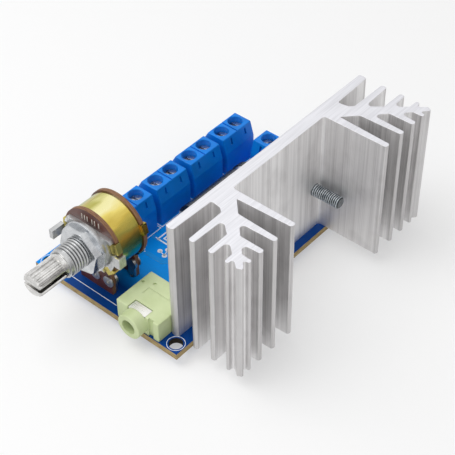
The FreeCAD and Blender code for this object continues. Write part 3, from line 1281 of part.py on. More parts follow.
def capacitor_leads():
    """Round leads out of the bung, bent down into the board."""
    radius = CAPACITOR_LEAD_DIAMETER / 2
    bend = CAPACITOR_LEAD_BEND / 2
    start_y = CAPACITOR_Y + CAPACITOR_LENGTH
    leads = []
    for x, y in capacitor_lead_ends():
        start = Vector(x, start_y, CAPACITOR_Z)
        bend_start = Vector(x, y - bend, CAPACITOR_Z)
        bend_end = Vector(x, y, CAPACITOR_Z - bend)
        bend_centre = Vector(x, y - bend, CAPACITOR_Z - bend)
        crown = bend_centre + Vector(0, bend / math.sqrt(2), bend / math.sqrt(2))
        path = Part.Wire([
            Part.LineSegment(start, bend_start).toShape(),
            Part.Arc(bend_start, crown, bend_end).toShape(),
            Part.LineSegment(bend_end, Vector(x, y, -PIN_REACH)).toShape(),
        ])
        section = Part.Wire([Part.makeCircle(radius, start, AXIS_Y)])
        leads.append(path.makePipeShell([section], True, False))
    return solid_group(leads)


# Chip parts

def chip_part_rows():
    """(x, y, height) of the near left corner of every chip part: capacitors, then resistors.

    Both rows are spread evenly between the jack and the power chip's first lead.
    """
    first = JACK_Y + JACK_LENGTH + CHIP_PARTS_JACK_GAP
    first_lead = min(y for x, y in lead_places()) - LEAD_WIDTH / 2
    last = first_lead - CHIP_PARTS_LEAD_GAP - CHIP_PART_WIDTH
    rows = []
    kinds = (
        (CHIP_CAPACITOR_FROM_PLATE, CHIP_CAPACITOR_HEIGHT),
        (CHIP_RESISTOR_FROM_PLATE, CHIP_RESISTOR_HEIGHT))
    for from_plate, height in kinds:
        for number in range(CHIP_PARTS_COUNT):
            y = first + (last - first) * number / (CHIP_PARTS_COUNT - 1)
            rows.append((PLATE_FACE_X - from_plate, y, height))
    return rows


def chip_part_bodies():
    """Ceramic bodies between the solder caps."""
    bodies = []
    for x, y, height in chip_part_rows():
        bodies.append(box(
            x + CHIP_PART_CAP, x + CHIP_PART_LENGTH - CHIP_PART_CAP, y, y + CHIP_PART_WIDTH,
            Z_TOP, Z_TOP + height))
    return solid_group(bodies)


def chip_part_caps():
    """Tinned cap at each end of every chip part."""
    caps = []
    for x, y, height in chip_part_rows():
        for start in (x, x + CHIP_PART_LENGTH - CHIP_PART_CAP):
            caps.append(box(start, start + CHIP_PART_CAP, y, y + CHIP_PART_WIDTH, Z_TOP, Z_TOP + height))
    return solid_group(caps)


# Circuit board and solder

def all_pins():
    """(x, y, radius) of every pin that goes through the board."""
    lead_radius = math.hypot(LEAD_WIDTH, LEAD_THICKNESS) / 2
    leads = [(x, y, lead_radius) for x, y in lead_places()]
    wires = [(x, y, CAPACITOR_LEAD_DIAMETER / 2) for x, y in capacitor_lead_ends()]
    return leads + wires + terminal_pins() + pot_pins() + jack_pins()


def board_hole_places():
    """Mounting holes in the front corners and the back left corner."""
    left = X_LEFT + BOARD_HOLE_INSET_X
    right = X_RIGHT - BOARD_HOLE_INSET_X
    front = Y_FRONT + BOARD_HOLE_INSET_Y
    back = Y_BACK - BOARD_HOLE_INSET_Y
    return [(left, front), (right, front), (left, back)]


def circuit_board():
    """Board with its mounting holes and one hole for each pin."""
    blank = box(X_LEFT, X_RIGHT, Y_FRONT, Y_BACK, 0, BOARD_THICKNESS)
    depth = BOARD_THICKNESS + 2 * OVERCUT
    holes = []
    for x, y in board_hole_places():
        holes.append(rod(BOARD_HOLE_DIAMETER / 2, Vector(x, y, -OVERCUT), depth, AXIS_Z))
    for x, y, radius in all_pins():
        holes.append(rod(radius + PIN_HOLE_CLEARANCE, Vector(x, y, -OVERCUT), depth, AXIS_Z))
    return blank.cut(Part.makeCompound(holes))


def solder_joints(pinned):
    """Solder cone under each pin, hollow where the pin passes."""
    joints = []
    for x, y, radius in all_pins():
        joints.append(Part.makeCone(
            radius + SOLDER_TOP_SPREAD, radius + SOLDER_SPREAD, SOLDER_HEIGHT,
            Vector(x, y, -SOLDER_HEIGHT), AXIS_Z))
    joints = solid_group(joints)
    return solid_group([joints.cut(Part.makeCompound(pinned))])


def all_nodes():
    """Every piece of the board, by name."""
    nodes = {
        "heatsink": heatsink(),
        "power_chip": chip_body(),
        "power_chip_tab": chip_tab(),
        "power_chip_leads": chip_leads(),
        "clamp_screws": clamp_screws(),
        "plain_washers": plain_washers(),
        "spring_washers": spring_washers(),
        "volume_plate": mounting_plate(),
        "volume_washer": pot_washer(),
        "volume_nut": pot_nut(),
        "volume_front_wafer": front_wafer(),
        "volume_rear_wafer": rear_wafer(),
        "volume_barrel": barrel(),
        "volume_front_terminals": front_terminals(),
        "volume_rear_terminals": rear_terminals(),
        "volume_shaft": pot_shaft(),
        "volume_rotor": pot_rotor(),
        "volume_wipers": pot_wipers(),
        "jack_housing": jack_housing(),
        "jack_sleeve_contact": jack_sleeve_contact(),
        "jack_tip_spring": jack_side_spring(-1, JACK_TIP_SPRING_FRONT),
        "jack_ring_spring": jack_side_spring(1, JACK_RING_SPRING_FRONT),
        "supply_capacitor_can": capacitor_can(),
        "supply_capacitor_sleeve": capacitor_sleeve(),
        "supply_capacitor_bung": capacitor_bung(),
        "supply_capacitor_leads": capacitor_leads(),
        "chip_part_bodies": chip_part_bodies(),
        "chip_part_caps": chip_part_caps(),
    }
    nodes.update(terminal_nodes())
    pinned = [
        nodes["power_chip_leads"], nodes["supply_capacitor_leads"],
        nodes["volume_front_terminals"], nodes["volume_rear_terminals"],
        nodes["jack_sleeve_contact"], nodes["jack_tip_spring"], nodes["jack_ring_spring"],
    ]
    pinned += [shape for name, shape in nodes.items() if "_contacts" in name]
    pins = [solid for shape in pinned for solid in shape.Solids]
    nodes["solder_joints"] = solder_joints(pins)
    nodes["circuit_board"] = circuit_board()
    return nodes


os.makedirs("parts", exist_ok=True)
for node_name, node_shape in all_nodes().items():
    node_shape.exportStep("parts/" + node_name + ".step")
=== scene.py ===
"""Looks of the audio amplifier board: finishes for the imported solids, print, light and camera."""
import json
import logging
import math
from dataclasses import dataclass, field
from enum import Enum

import bmesh
import bpy
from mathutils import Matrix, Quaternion, Vector


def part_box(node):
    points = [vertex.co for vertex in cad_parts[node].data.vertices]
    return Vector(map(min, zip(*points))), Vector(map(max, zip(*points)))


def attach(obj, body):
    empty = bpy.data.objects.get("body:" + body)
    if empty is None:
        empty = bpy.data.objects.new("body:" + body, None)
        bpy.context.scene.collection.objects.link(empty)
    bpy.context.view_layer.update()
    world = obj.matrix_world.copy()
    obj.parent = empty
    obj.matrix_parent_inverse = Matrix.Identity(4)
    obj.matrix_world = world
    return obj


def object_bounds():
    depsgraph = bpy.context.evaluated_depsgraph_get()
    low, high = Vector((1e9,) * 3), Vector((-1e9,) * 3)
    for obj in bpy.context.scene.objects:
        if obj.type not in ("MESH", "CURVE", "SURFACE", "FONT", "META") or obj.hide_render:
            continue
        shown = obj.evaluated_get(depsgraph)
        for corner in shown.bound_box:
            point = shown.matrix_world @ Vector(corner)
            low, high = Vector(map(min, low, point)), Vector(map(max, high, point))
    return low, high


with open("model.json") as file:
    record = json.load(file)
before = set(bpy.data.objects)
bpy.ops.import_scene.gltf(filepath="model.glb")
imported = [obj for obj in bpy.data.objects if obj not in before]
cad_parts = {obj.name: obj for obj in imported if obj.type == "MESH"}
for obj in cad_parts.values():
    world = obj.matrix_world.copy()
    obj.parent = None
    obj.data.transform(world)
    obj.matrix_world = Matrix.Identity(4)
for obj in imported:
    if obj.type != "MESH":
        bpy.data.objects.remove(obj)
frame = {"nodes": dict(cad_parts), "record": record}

MM = 0.001
FULL_TURN = 360.0
BOARD_BODY = "board"
CAD_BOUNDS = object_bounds()

# Noise lies round one half. A pattern passes from its first tone to its second over one of
# these spans of it, so that the second tone takes much of the surface or little.
OFTEN = (0.35, 0.7)
CLOUDY = (0.35, 0.75)
SELDOM = (0.5, 0.8)
WIDELY = (0.3, 0.7)

# How much of a handled metal's darker tone comes from its clouds and from its streaks.
CLOUD_SHARE = 0.6
STREAK_SHARE = 0.4

# Finer layers that a noise adds, for plain, cloudy and smudged patterns.
PLAIN = 2.0
LAYERED = 3.0
SMUDGED = 4.0

# Directions that the edge rounding of a material looks in.
EDGE_SAMPLES = 6

# The sRGB curve: a straight foot up to the knee, and a power above it.
SRGB_FOOT = 12.92
SRGB_KNEE = 0.04045
SRGB_LIFT = 0.055
SRGB_POWER = 2.4

Socket = bpy.types.NodeSocket
Pair = tuple[float, float]
Triple = tuple[float, float, float]

log = logging.getLogger("amplifier_board")


class Axis(Enum):
    """A row axis, by its place in a vector."""

    X = 0
    Y = 1
    Z = 2


def linear(hex_colour: str) -> tuple[float, float, float, float]:
    """Turn an sRGB hex colour into the linear values that shaders use.

    Args:
        hex_colour: colour such as "#1670D2".

    Returns:
        Linear red, green and blue, and an alpha of one.
    """
    parts = [int(hex_colour[start:start + 2], 16) / 255 for start in (1, 3, 5)]
    red, green, blue = [
        part / SRGB_FOOT if part <= SRGB_KNEE else ((part + SRGB_LIFT) / (1 + SRGB_LIFT)) ** SRGB_POWER
        for part in parts]
    return (red, green, blue, 1.0)


def feed(node: bpy.types.Node, name: str | int, value: object) -> None:
    """Link a socket to a node's input, or set the input's plain value.

    Args:
        node: node that gets the value.
        name: name or number of its input.
        value: socket to link from, or a plain value.
    """
    if isinstance(value, Socket):
        node.id_data.links.new(value, node.inputs[name])
    else:
        node.inputs[name].default_value = value


def add_node(tree: bpy.types.NodeTree, kind: str, settings: dict | None = None,
             inputs: dict | None = None) -> bpy.types.Node:
    """Add one shader node with its settings, and link or set its inputs.

    Args:
        tree: node tree that gets the node.
        kind: Blender's type name of the node.
        settings: property names and their values.
        inputs: socket names or numbers, with a socket to link from or a plain value.

    Returns:
        The new node.
    """
    node = tree.nodes.new(kind)
    for name, value in (settings or {}).items():
        setattr(node, name, value)
    for name, value in (inputs or {}).items():
        feed(node, name, value)
    return node


class Surface:
    """Node graph of one material while it is being built."""

    def __init__(self, name: str) -> None:
        """Start a material with a plain shader.

        Args:
            name: the material's name.
        """
        self.material = bpy.data.materials.new(name)
        self.material.use_nodes = True
        self.tree = self.material.node_tree
        self.tree.nodes.clear()
        self.shader = add_node(self.tree, "ShaderNodeBsdfPrincipled")
        add_node(self.tree, "ShaderNodeOutputMaterial", inputs={"Surface": self.shader.outputs["BSDF"]})
        places = add_node(self.tree, "ShaderNodeTexCoord")
        self.place = places.outputs["Object"]
        self.normal = places.outputs["Normal"]

    def along(self, axis: Axis) -> Socket:
        """Place along one row axis, in metres."""
        return add_node(self.tree, "ShaderNodeSeparateXYZ", inputs={0: self.place}).outputs[axis.value]

    def past(self, axis: Axis, place: float) -> Socket:
        """Distance past a place on one row axis, in metres, and less than nought before it."""
        return self.math("SUBTRACT", self.along(axis), place)

    def away_from(self, first: tuple[Axis, float], second: tuple[Axis, float]) -> Socket:
        """Distance from a straight line that runs along the third row axis.

        Args:
            first: one axis across the line, and the line's place on it in metres.
            second: the other axis across the line, and the line's place on it in metres.

        Returns:
            Socket of the distance in metres.
        """
        squares = [self.math("POWER", self.past(axis, place), 2.0) for axis, place in (first, second)]
        return self.math("SQRT", self.math("ADD", squares[0], squares[1]))

    def math(self, operation: str, first: object, second: object = 0.0, third: object = 0.0) -> Socket:
        """One step of arithmetic on sockets or numbers.

        Args:
            operation: name of the arithmetic step.
            first: first operand.
            second: second operand, where the step has one.
            third: third operand, where the step has one.

        Returns:
            The result's socket.
        """
        return add_node(
            self.tree, "ShaderNodeMath", {"operation": operation},
            {0: first, 1: second, 2: third}).outputs[0]

    def mottle(self, size_mm: Triple, detail: float = PLAIN) -> Socket:
        """Cloudy noise whose patches have a real size along each axis.

        Args:
            size_mm: patch size along X, Y and Z, in millimetres.
            detail: how many finer layers are added.

        Returns:
            Socket from 0 to 1.
        """
        scaled = add_node(self.tree, "ShaderNodeVectorMath", {"operation": "DIVIDE"}, {
            0: self.place, 1: tuple(size * MM for size in size_mm)})
        return add_node(self.tree, "ShaderNodeTexNoise", inputs={
            "Vector": scaled.outputs[0], "Scale": 1.0, "Detail": detail}).outputs["Fac"]

    def levels(self, value: Socket, low: float, high: float,
               dark: float = 0.0, light: float = 1.0) -> Socket:
        """Stretch a value so that low becomes dark and high becomes light.

        Args:
            value: socket to stretch.
            low: value that becomes dark.
            high: value that becomes light.
            dark: result at low.
            light: result at high.

        Returns:
            The stretched socket, held between the two results.
        """
        return add_node(self.tree, "ShaderNodeMapRange", {"clamp": True}, {
            "Value": value, "From Min": low, "From Max": high, "To Min": dark, "To Max": light}).outputs[0]

    def tones(self, share: Socket, first: object, second: object) -> Socket:
        """Blend two colours.

        Args:
            share: how much of the second colour shows.
            first: hex colour or colour socket.
            second: hex colour or colour socket.

        Returns:
            Socket of the blended colour.
        """
        ends = [linear(end) if isinstance(end, str) else end for end in (first, second)]
        return add_node(self.tree, "ShaderNodeMix", {"data_type": "RGBA"}, {
            0: share, 6: ends[0], 7: ends[1]}).outputs[2]

    def facing(self, axis: Axis, low: float = 0.6, high: float = 0.8) -> Socket:
        """Share from 0 to 1 of a face that looks along an axis, either way."""
        normal = add_node(self.tree, "ShaderNodeSeparateXYZ", inputs={0: self.normal}).outputs[axis.value]
        return self.levels(self.math("ABSOLUTE", normal), low, high)

    def handled(self, clouds: Socket, streaks: Socket) -> Socket:
        """Share of the darker tone on metal that was handled: clouds of it, with streaks over them.

        Args:
            clouds: noise of the clouds.
            streaks: noise of the streaks.

        Returns:
            The share's socket.
        """
        cloudy = self.levels(clouds, *CLOUDY, 0.0, CLOUD_SHARE)
        return self.math("ADD", cloudy, self.levels(streaks, *OFTEN, 0.0, STREAK_SHARE))

    def relief(self, height: Socket, depth_mm: float, edge_mm: float = 0.0) -> None:
        """Give the shader its bump, over edges that are rounded a little.

        Args:
            height: socket from 0 to 1.
            depth_mm: real depth of the relief.
            edge_mm: radius of the rounding that sharp edges get.
        """
        inputs: dict = {"Height": height, "Distance": depth_mm * MM, "Strength": 1.0}
        if edge_mm > 0:
            rounded = add_node(
                self.tree, "ShaderNodeBevel", {"samples": EDGE_SAMPLES}, {"Radius": edge_mm * MM})
            inputs["Normal"] = rounded.outputs[0]
        feed(self.shader, "Normal", add_node(self.tree, "ShaderNodeBump", inputs=inputs).outputs[0])

    def finish(self, colour: object, roughness: object, metallic: float = 0.0,
               fixed: dict | None = None) -> bpy.types.Material:
        """Set the shader's main inputs.

        Args:
            colour: hex colour or colour socket.
            roughness: number or socket.
            metallic: zero for plastics, one for metals.
            fixed: other plain values by socket name.

        Returns:
            The finished material.
        """
        inputs = {"Base Color": linear(colour) if isinstance(colour, str) else colour,
                  "Roughness": roughness, "Metallic": metallic}
        for name, value in {**inputs, **(fixed or {})}.items():
            feed(self.shader, name, value)
        return self.material


@dataclass(frozen=True)
class Moulded:
    """Injection moulded plastic: a fine spark-eroded grain, soft edges and faint flow clouds."""

    name: str
    colour: str
    shade: str
    roughness: float
    smoother: float = 0.06
    rougher: float = 0.08
    grain_mm: float = 0.09
    depth_mm: float = 0.006
    edge_mm: float = 0.12
    flow_mm: float = 4.0
    ior: float = 1.5
    gloss: float = 0.5

    def build(self) -> bpy.types.Material:
        """Make the material."""
        surface = Surface(self.name)
        flow = surface.mottle((self.flow_mm,) * 3, LAYERED)
        grain = surface.mottle((self.grain_mm,) * 3)
        colour = surface.tones(surface.levels(flow, *OFTEN), self.colour, self.shade)
        rough = surface.levels(
            grain, *WIDELY, self.roughness - self.smoother, self.roughness + self.rougher)
        surface.relief(grain, self.depth_mm, self.edge_mm)
        return surface.finish(colour, rough, fixed={"IOR": self.ior, "Specular IOR Level": self.gloss})


@dataclass(frozen=True)
class Plated:
    """Metal with fine tool or rolling streaks along one axis, cloudy with handling."""

    name: str
    colour: str
    shade: str
    roughness: float
    smoother: float = 0.08
    rougher: float = 0.1
    streak_axis: Axis = Axis.Z
    streak_mm: float = 0.12
    streak_length_mm: float = 6.0
    depth_mm: float = 0.004
    edge_mm: float = 0.06
    cloud_mm: float = 2.5

    def build(self) -> bpy.types.Material:
        """Make the material."""
        surface = Surface(self.name)
        size = [self.streak_mm] * 3
        size[self.streak_axis.value] = self.streak_length_mm
        streaks = surface.mottle((size[0], size[1], size[2]), LAYERED)
        clouds = surface.mottle((self.cloud_mm,) * 3, LAYERED)
        colour = surface.tones(surface.handled(clouds, streaks), self.colour, self.shade)
        rough = surface.levels(
            streaks, *WIDELY, self.roughness - self.smoother, self.roughness + self.rougher)
        surface.relief(streaks, self.depth_mm, self.edge_mm)
        return surface.finish(colour, rough, 1.0)


@dataclass(frozen=True)
class RolledThread:
    """Dark zinc plated steel screw with a rolled thread: bright crests, and painted shade dark in the roots.
    """

    name: str = "dark_zinc_thread"
    crest: str = "#CCD3D8"
    root_shade: str = "#0E1216"
    worn: str = "#8A939A"
    node: str = "clamp_screws"
    pitch_mm: float = 0.5
    chamfer_mm: float = 0.35
    # Where the flank begins and ends, in turns from the middle of the root.
    flank: Pair = (0.1, 0.37)
    wear_mm: float = 0.8
    wear_span: Pair = (0.4, 0.7)
    grit_mm: float = 0.12
    depth_mm: float = 0.004
    edge_mm: float = 0.02
    roughness: Pair = (0.16, 0.34)

    def build(self) -> bpy.types.Material:
        """Make the material."""
        surface = Surface(self.name)
        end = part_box(self.node)[1].x - self.chamfer_mm * MM
        turns = surface.math("DIVIDE", surface.past(Axis.X, end), self.pitch_mm * MM)
        from_root = surface.math("ABSOLUTE", surface.math("SUBTRACT", surface.math("FRACT", turns), 0.5))
        wear = surface.mottle((self.wear_mm,) * 3, LAYERED)
        metal = surface.tones(surface.levels(wear, *self.wear_span), self.crest, self.worn)
        surface.relief(surface.mottle((self.grit_mm,) * 3), self.depth_mm, self.edge_mm)
        # Painted shade darkens the thread's roots.
        colour = surface.tones(surface.levels(from_root, *self.flank), self.root_shade, metal)
        return surface.finish(colour, surface.levels(wear, *WIDELY, *self.roughness), 1.0)


@dataclass(frozen=True)
class ThreadedDieCasting:
    """Zinc die casting with a cut thread: satin crests, and roots darkened with painted shade."""

    name: str = "threaded_zinc_casting"
    casting: str = "#D0D1D1"
    cloud: str = "#A3A4A5"
    root_shade: str = "#454648"
    root_radius_mm: float = 3.2
    crest_radius_mm: float = 3.46
    collar_mm: float = 0.95
    node: str = "volume_plate"
    streak_mm: Triple = (0.35, 0.35, 1.2)
    cloud_mm: float = 2.5
    depth_mm: float = 0.008
    edge_mm: float = 0.06
    roughness: Pair = (0.26, 0.42)

    def build(self) -> bpy.types.Material:
        """Make the material."""
        surface = Surface(self.name)
        shaft_low, shaft_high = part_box("volume_shaft")
        axis = (shaft_low + shaft_high) / 2
        radius = surface.away_from((Axis.X, axis.x), (Axis.Z, axis.z))
        root_shade = surface.levels(radius, self.root_radius_mm * MM, self.crest_radius_mm * MM, 1.0, 0.0)
        behind_collar = surface.math(
            "GREATER_THAN", surface.along(Axis.Y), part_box(self.node)[0].y + self.collar_mm * MM)
        streaks = surface.mottle(self.streak_mm, LAYERED)
        clouds = surface.mottle((self.cloud_mm,) * 3, LAYERED)
        metal = surface.tones(surface.handled(clouds, streaks), self.casting, self.cloud)
        # Painted shade darkens the thread's roots behind the collar.
        colour = surface.tones(surface.math("MULTIPLY", root_shade, behind_collar), metal, self.root_shade)
        surface.relief(streaks, self.depth_mm, self.edge_mm)
        return surface.finish(colour, surface.levels(streaks, *WIDELY, *self.roughness), 1.0)


@dataclass(frozen=True)
class ExtrudedAluminium:
    """Bare extruded aluminium: die lines run the height of the walls, and the ends are sawn.

    The tips of the fins are painted greyer than the walls: painted shade that tones down the light they
    catch.
    """

    name: str = "extruded_aluminium"
    wall: str = "#F4F3F3"
    wall_dark: str = "#C2C0C0"
    wall_roughness: float = 0.56
    sawn: str = "#DADADE"
    sawn_dark: str = "#CCCCD0"
    sawn_roughness: float = 0.62
    tip_shade: str = "#A6A4A4"
    tip_shade_strength: float = 0.45
    tip_shade_mm: Pair = (0.3, 1.0)
    node: str = "heatsink"
    broad_line_mm: Triple = (1.35, 1.35, 60.0)
    fine_line_mm: Triple = (0.13, 0.13, 40.0)
    line_span: Pair = (0.36, 0.64)
    line_share: float = 0.75
    smudge_mm: Triple = (5.0, 5.0, 7.0)
    smudge_share: float = 0.35
    saw_mark_mm: Triple = (0.3, 9.0, 5.0)
    depth_mm: float = 0.02
    edge_mm: float = 0.15

    def build(self) -> bpy.types.Material:
        """Make the material."""
        surface = Surface(self.name)
        broad = surface.mottle(self.broad_line_mm, LAYERED)
        fine = surface.mottle(self.fine_line_mm)
        lines = surface.math("MULTIPLY_ADD", fine, 0.5, surface.math("MULTIPLY", broad, 0.5))
        smudge = surface.mottle(self.smudge_mm, SMUDGED)
        share = surface.math("ADD", surface.levels(lines, *self.line_span, 0.0, self.line_share),
                             surface.levels(smudge, *SELDOM, 0.0, self.smudge_share))
        wall = surface.tones(share, self.wall, self.wall_dark)
        # Painted shade greys the fin tips, toning down the light that falls on them.
        wall = surface.tones(self.painted_tip_shade(surface), wall, self.tip_shade)
        marks = surface.mottle(self.saw_mark_mm, LAYERED)
        end = surface.tones(surface.levels(marks, *OFTEN), self.sawn, self.sawn_dark)
        sawn = surface.facing(Axis.Z)
        height = add_node(surface.tree, "ShaderNodeMix", inputs={0: sawn, 2: lines, 3: marks}).outputs[0]
        rough = surface.levels(sawn, 0.0, 1.0, self.wall_roughness, self.sawn_roughness)
        surface.relief(height, self.depth_mm, self.edge_mm)
        return surface.finish(surface.tones(sawn, wall, end), rough, 1.0)

    def painted_tip_shade(self, surface: Surface) -> Socket:
        """Share of the painted tip shade, which grows towards the planes that the fins end on.

        Args:
            surface: node graph of the material.

        Returns:
            The share's socket.
        """
        low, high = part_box(self.node)
        inside = [
            surface.math("SUBTRACT", high.x, surface.along(Axis.X)),
            surface.math("SUBTRACT", high.y, surface.along(Axis.Y)),
            surface.past(Axis.Y, low.y),
        ]
        nearest = surface.math("MINIMUM", inside[0], surface.math("MINIMUM", inside[1], inside[2]))
        return surface.levels(nearest, self.tip_shade_mm[0] * MM, self.tip_shade_mm[1] * MM, self.tip_shade_strength, 0.0)


def mounting_holes() -> list[Pair]:
    """Middles of the board's mounting holes, from the record's mounts, in metres."""
    holes = []
    for mount in frame["record"]["mounts"]:
        x, y, _ = mount["pos_m"]
        if mount["name"] == "front_holes":
            half = mount["dims"]["spacing_x_mm"] / 2 * MM
            holes += [(x - half, y), (x + half, y)]
        if mount["name"] == "rear_left_hole":
            holes.append((x, y))
    return holes


@dataclass(frozen=True)
class SolderMask:
    """Printed circuit board: glossy solder mask on the faces, tan glass laminate at the edges.

    The mask takes a faint ripple from the glass weave under it. It is bright over most of the face,
    and round the front left hole too. Towards the rest of the front edge and the right edge it is
    painted navy: painted shade and painted dark reflection. The walls of the mounting holes are
    painted dark with shade.
    """

    name: str = "solder_mask"
    mask: str = "#0598F6"
    mask_deep: str = "#048AE2"
    mask_roughness: float = 0.34
    gloss: float = 0.12
    ior: float = 1.5
    # The first two pairs give where the painted navy shade is full and where it has faded out, from the front
    # and the right edge; the last gives where the front shade is still left out and where it is full, from
    # the left edge.
    painted_shade: str = "#063F88"
    shade_front_mm: Pair = (7.0, 11.5)
    shade_right_mm: Pair = (4.0, 8.0)
    unshaded_left_mm: Pair = (5.0, 10.0)
    hole_shade: str = "#2B2620"
    hole_shade_radius_mm: float = 1.8
    laminate: str = "#B09C72"
    laminate_dark: str = "#8A7550"
    laminate_roughness: float = 0.75
    ply_mm: Triple = (2.0, 2.0, 0.18)
    ply_span: Pair = (0.4, 0.65)
    weave_mm: float = 0.5
    weave_share: float = 0.4
    cloud_mm: float = 7.0
    ripple_mm: float = 0.008
    edge_mm: float = 0.1

    def build(self) -> bpy.types.Material:
        """Make the material."""
        surface = Surface(self.name)
        plies = surface.mottle(self.ply_mm)
        edge = surface.tones(surface.levels(plies, *self.ply_span), self.laminate, self.laminate_dark)
        weave = surface.mottle((self.weave_mm,) * 3)
        clouds = surface.mottle((self.cloud_mm,) * 3, LAYERED)
        face = surface.tones(surface.levels(clouds, *OFTEN), self.mask, self.mask_deep)
        face = surface.tones(surface.levels(weave, *SELDOM, 0.0, self.weave_share), face, self.mask_deep)
        # Painted shade and painted dark reflection: navy towards the front and right edges.
        face = surface.tones(self.painted_edge_shade(surface), face, self.painted_shade)
        # Painted shade darkens the walls of the mounting holes.
        for x, y in mounting_holes():
            away = surface.away_from((Axis.X, x), (Axis.Y, y))
            hole_shade = surface.math("LESS_THAN", away, self.hole_shade_radius_mm * MM)
            edge = surface.tones(hole_shade, edge, self.hole_shade)
        flat = surface.facing(Axis.Z)
        surface.relief(weave, self.ripple_mm, self.edge_mm)
        rough = surface.levels(flat, 0.0, 1.0, self.laminate_roughness, self.mask_roughness)
        return surface.finish(surface.tones(flat, edge, face), rough, fixed={
            "IOR": self.ior, "Specular IOR Level": self.gloss})

    def painted_edge_shade(self, surface: Surface) -> Socket:
        """Share of the painted navy shade, which grows towards the front and right edges.

        Args:
            surface: node graph of the material.

        Returns:
            The share's socket.
        """
        low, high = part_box("circuit_board")
        front = surface.past(Axis.Y, low.y)
        right = surface.math("SUBTRACT", high.x, surface.along(Axis.X))
        shade_front, shade_right = [
            surface.levels(inside, near * MM, far * MM, 1.0, 0.0)
            for inside, (near, far) in ((front, self.shade_front_mm), (right, self.shade_right_mm))]
        near, far = self.unshaded_left_mm
        past_unshaded = surface.levels(surface.past(Axis.X, low.x), near * MM, far * MM)
        return surface.math("MAXIMUM", surface.math("MULTIPLY", shade_front, past_unshaded), shade_right)


@dataclass(frozen=True)
class PhenolicBoard:
    """Punched phenolic paper board: dark varnished faces and a pale fibrous edge."""

    name: str = "phenolic_board"
    face: str = "#5A2A1C"
    face_dark: str = "#431D12"
    face_roughness: float = 0.38
    rim: str = "#8E6846"
    rim_dark: str = "#5F3D2A"
    rim_roughness: float = 0.7
    fibre_mm: Triple = (1.2, 0.12, 1.2)
    cloud_mm: float = 2.2
    depth_mm: float = 0.01
    edge_mm: float = 0.08
    ior: float = 1.55

    def build(self) -> bpy.types.Material:
        """Make the material."""
        surface = Surface(self.name)
        fibres = surface.mottle(self.fibre_mm, LAYERED)
        clouds = surface.mottle((self.cloud_mm,) * 3, LAYERED)
        rim = surface.tones(surface.levels(fibres, *OFTEN), self.rim, self.rim_dark)
        face = surface.tones(surface.levels(clouds, *OFTEN), self.face, self.face_dark)
        flat = surface.facing(Axis.Y)
        surface.relief(fibres, self.depth_mm, self.edge_mm)
        rough = surface.levels(flat, 0.0, 1.0, self.rim_roughness, self.face_roughness)
        return surface.finish(surface.tones(flat, rim, face), rough, fixed={"IOR": self.ior})


@dataclass(frozen=True)
class YellowPassivated:
    """Zinc plated sheet with yellow passivation: its thin film tints it pale gold and green.

    The colour follows the direction round the barrel's axis, and drifts a little along it: partly the
    film's tints, and partly painted light, a painted highlight along the top and a painted teal reflection
    of the blue board low on the right. The tongues that are folded over the front stay gold.
    """

    name: str = "yellow_passivated_zinc"
    # Direction round the axis in degrees, from the right towards the top, and the colour there: the film's
    # tint, with the painted highlight and painted reflection.
    film: tuple[tuple[float, str], ...] = (
        (-180.0, "#9C9A58"),
        (-70.0, "#3F7FA0"),
        (-30.0, "#4690A6"),
        (-12.0, "#7FAE6E"),
        (4.0, "#9C9A48"),
        (20.0, "#C29A42"),
        (34.0, "#A39A4C"),
        (50.0, "#C9B052"),
        (66.0, "#EBD878"),
        (84.0, "#F4EDB4"),
        (98.0, "#EFE8A8"),
        (108.0, "#B9B45E"),
        (118.0, "#CDBA72"),
        (132.0, "#A3AC66"),
        (150.0, "#B7A85C"),
        (180.0, "#9C9A58"),
    )
    tongue: str = "#BDAF5E"
    drift_mm: Triple = (2.5, 7.5, 2.5)
    drift_degrees: float = 16.0
    rolled_mm: Triple = (0.15, 5.0, 0.15)
    depth_mm: float = 0.002
    edge_mm: float = 0.08
    roughness: Pair = (0.16, 0.24)

    def build(self) -> bpy.types.Material:
        """Make the material."""
        surface = Surface(self.name)
        low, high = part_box("volume_shaft")
        axis = (low + high) / 2
        # The colour round the axis paints a highlight on top and a teal reflection of the board low on the
        # right, over the film's own tints.
        angle = surface.math("ARCTAN2", surface.past(Axis.Z, axis.z), surface.past(Axis.X, axis.x))
        half_swing = self.drift_degrees / 2 / FULL_TURN
        swing = surface.levels(surface.mottle(self.drift_mm), *WIDELY, -half_swing, half_swing)
        share = surface.math("ADD", surface.levels(angle, -math.pi, math.pi), swing)
        ramp = add_node(surface.tree, "ShaderNodeValToRGB", inputs={"Fac": share})
        stops = ramp.color_ramp.elements
        already = len(stops)
        for number, (degrees, colour) in enumerate(self.film):
            place = degrees / FULL_TURN + 0.5
            stop = stops[number] if number < already else stops.new(place)
            stop.position = place
            stop.color = linear(colour)
        folded = surface.math("LESS_THAN", surface.along(Axis.Y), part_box("volume_front_wafer")[1].y)
        colour = surface.tones(folded, ramp.outputs["Color"], self.tongue)
        rolled = surface.mottle(self.rolled_mm)
        surface.relief(rolled, self.depth_mm, self.edge_mm)
        return surface.finish(colour, surface.levels(rolled, *WIDELY, *self.roughness), 1.0)


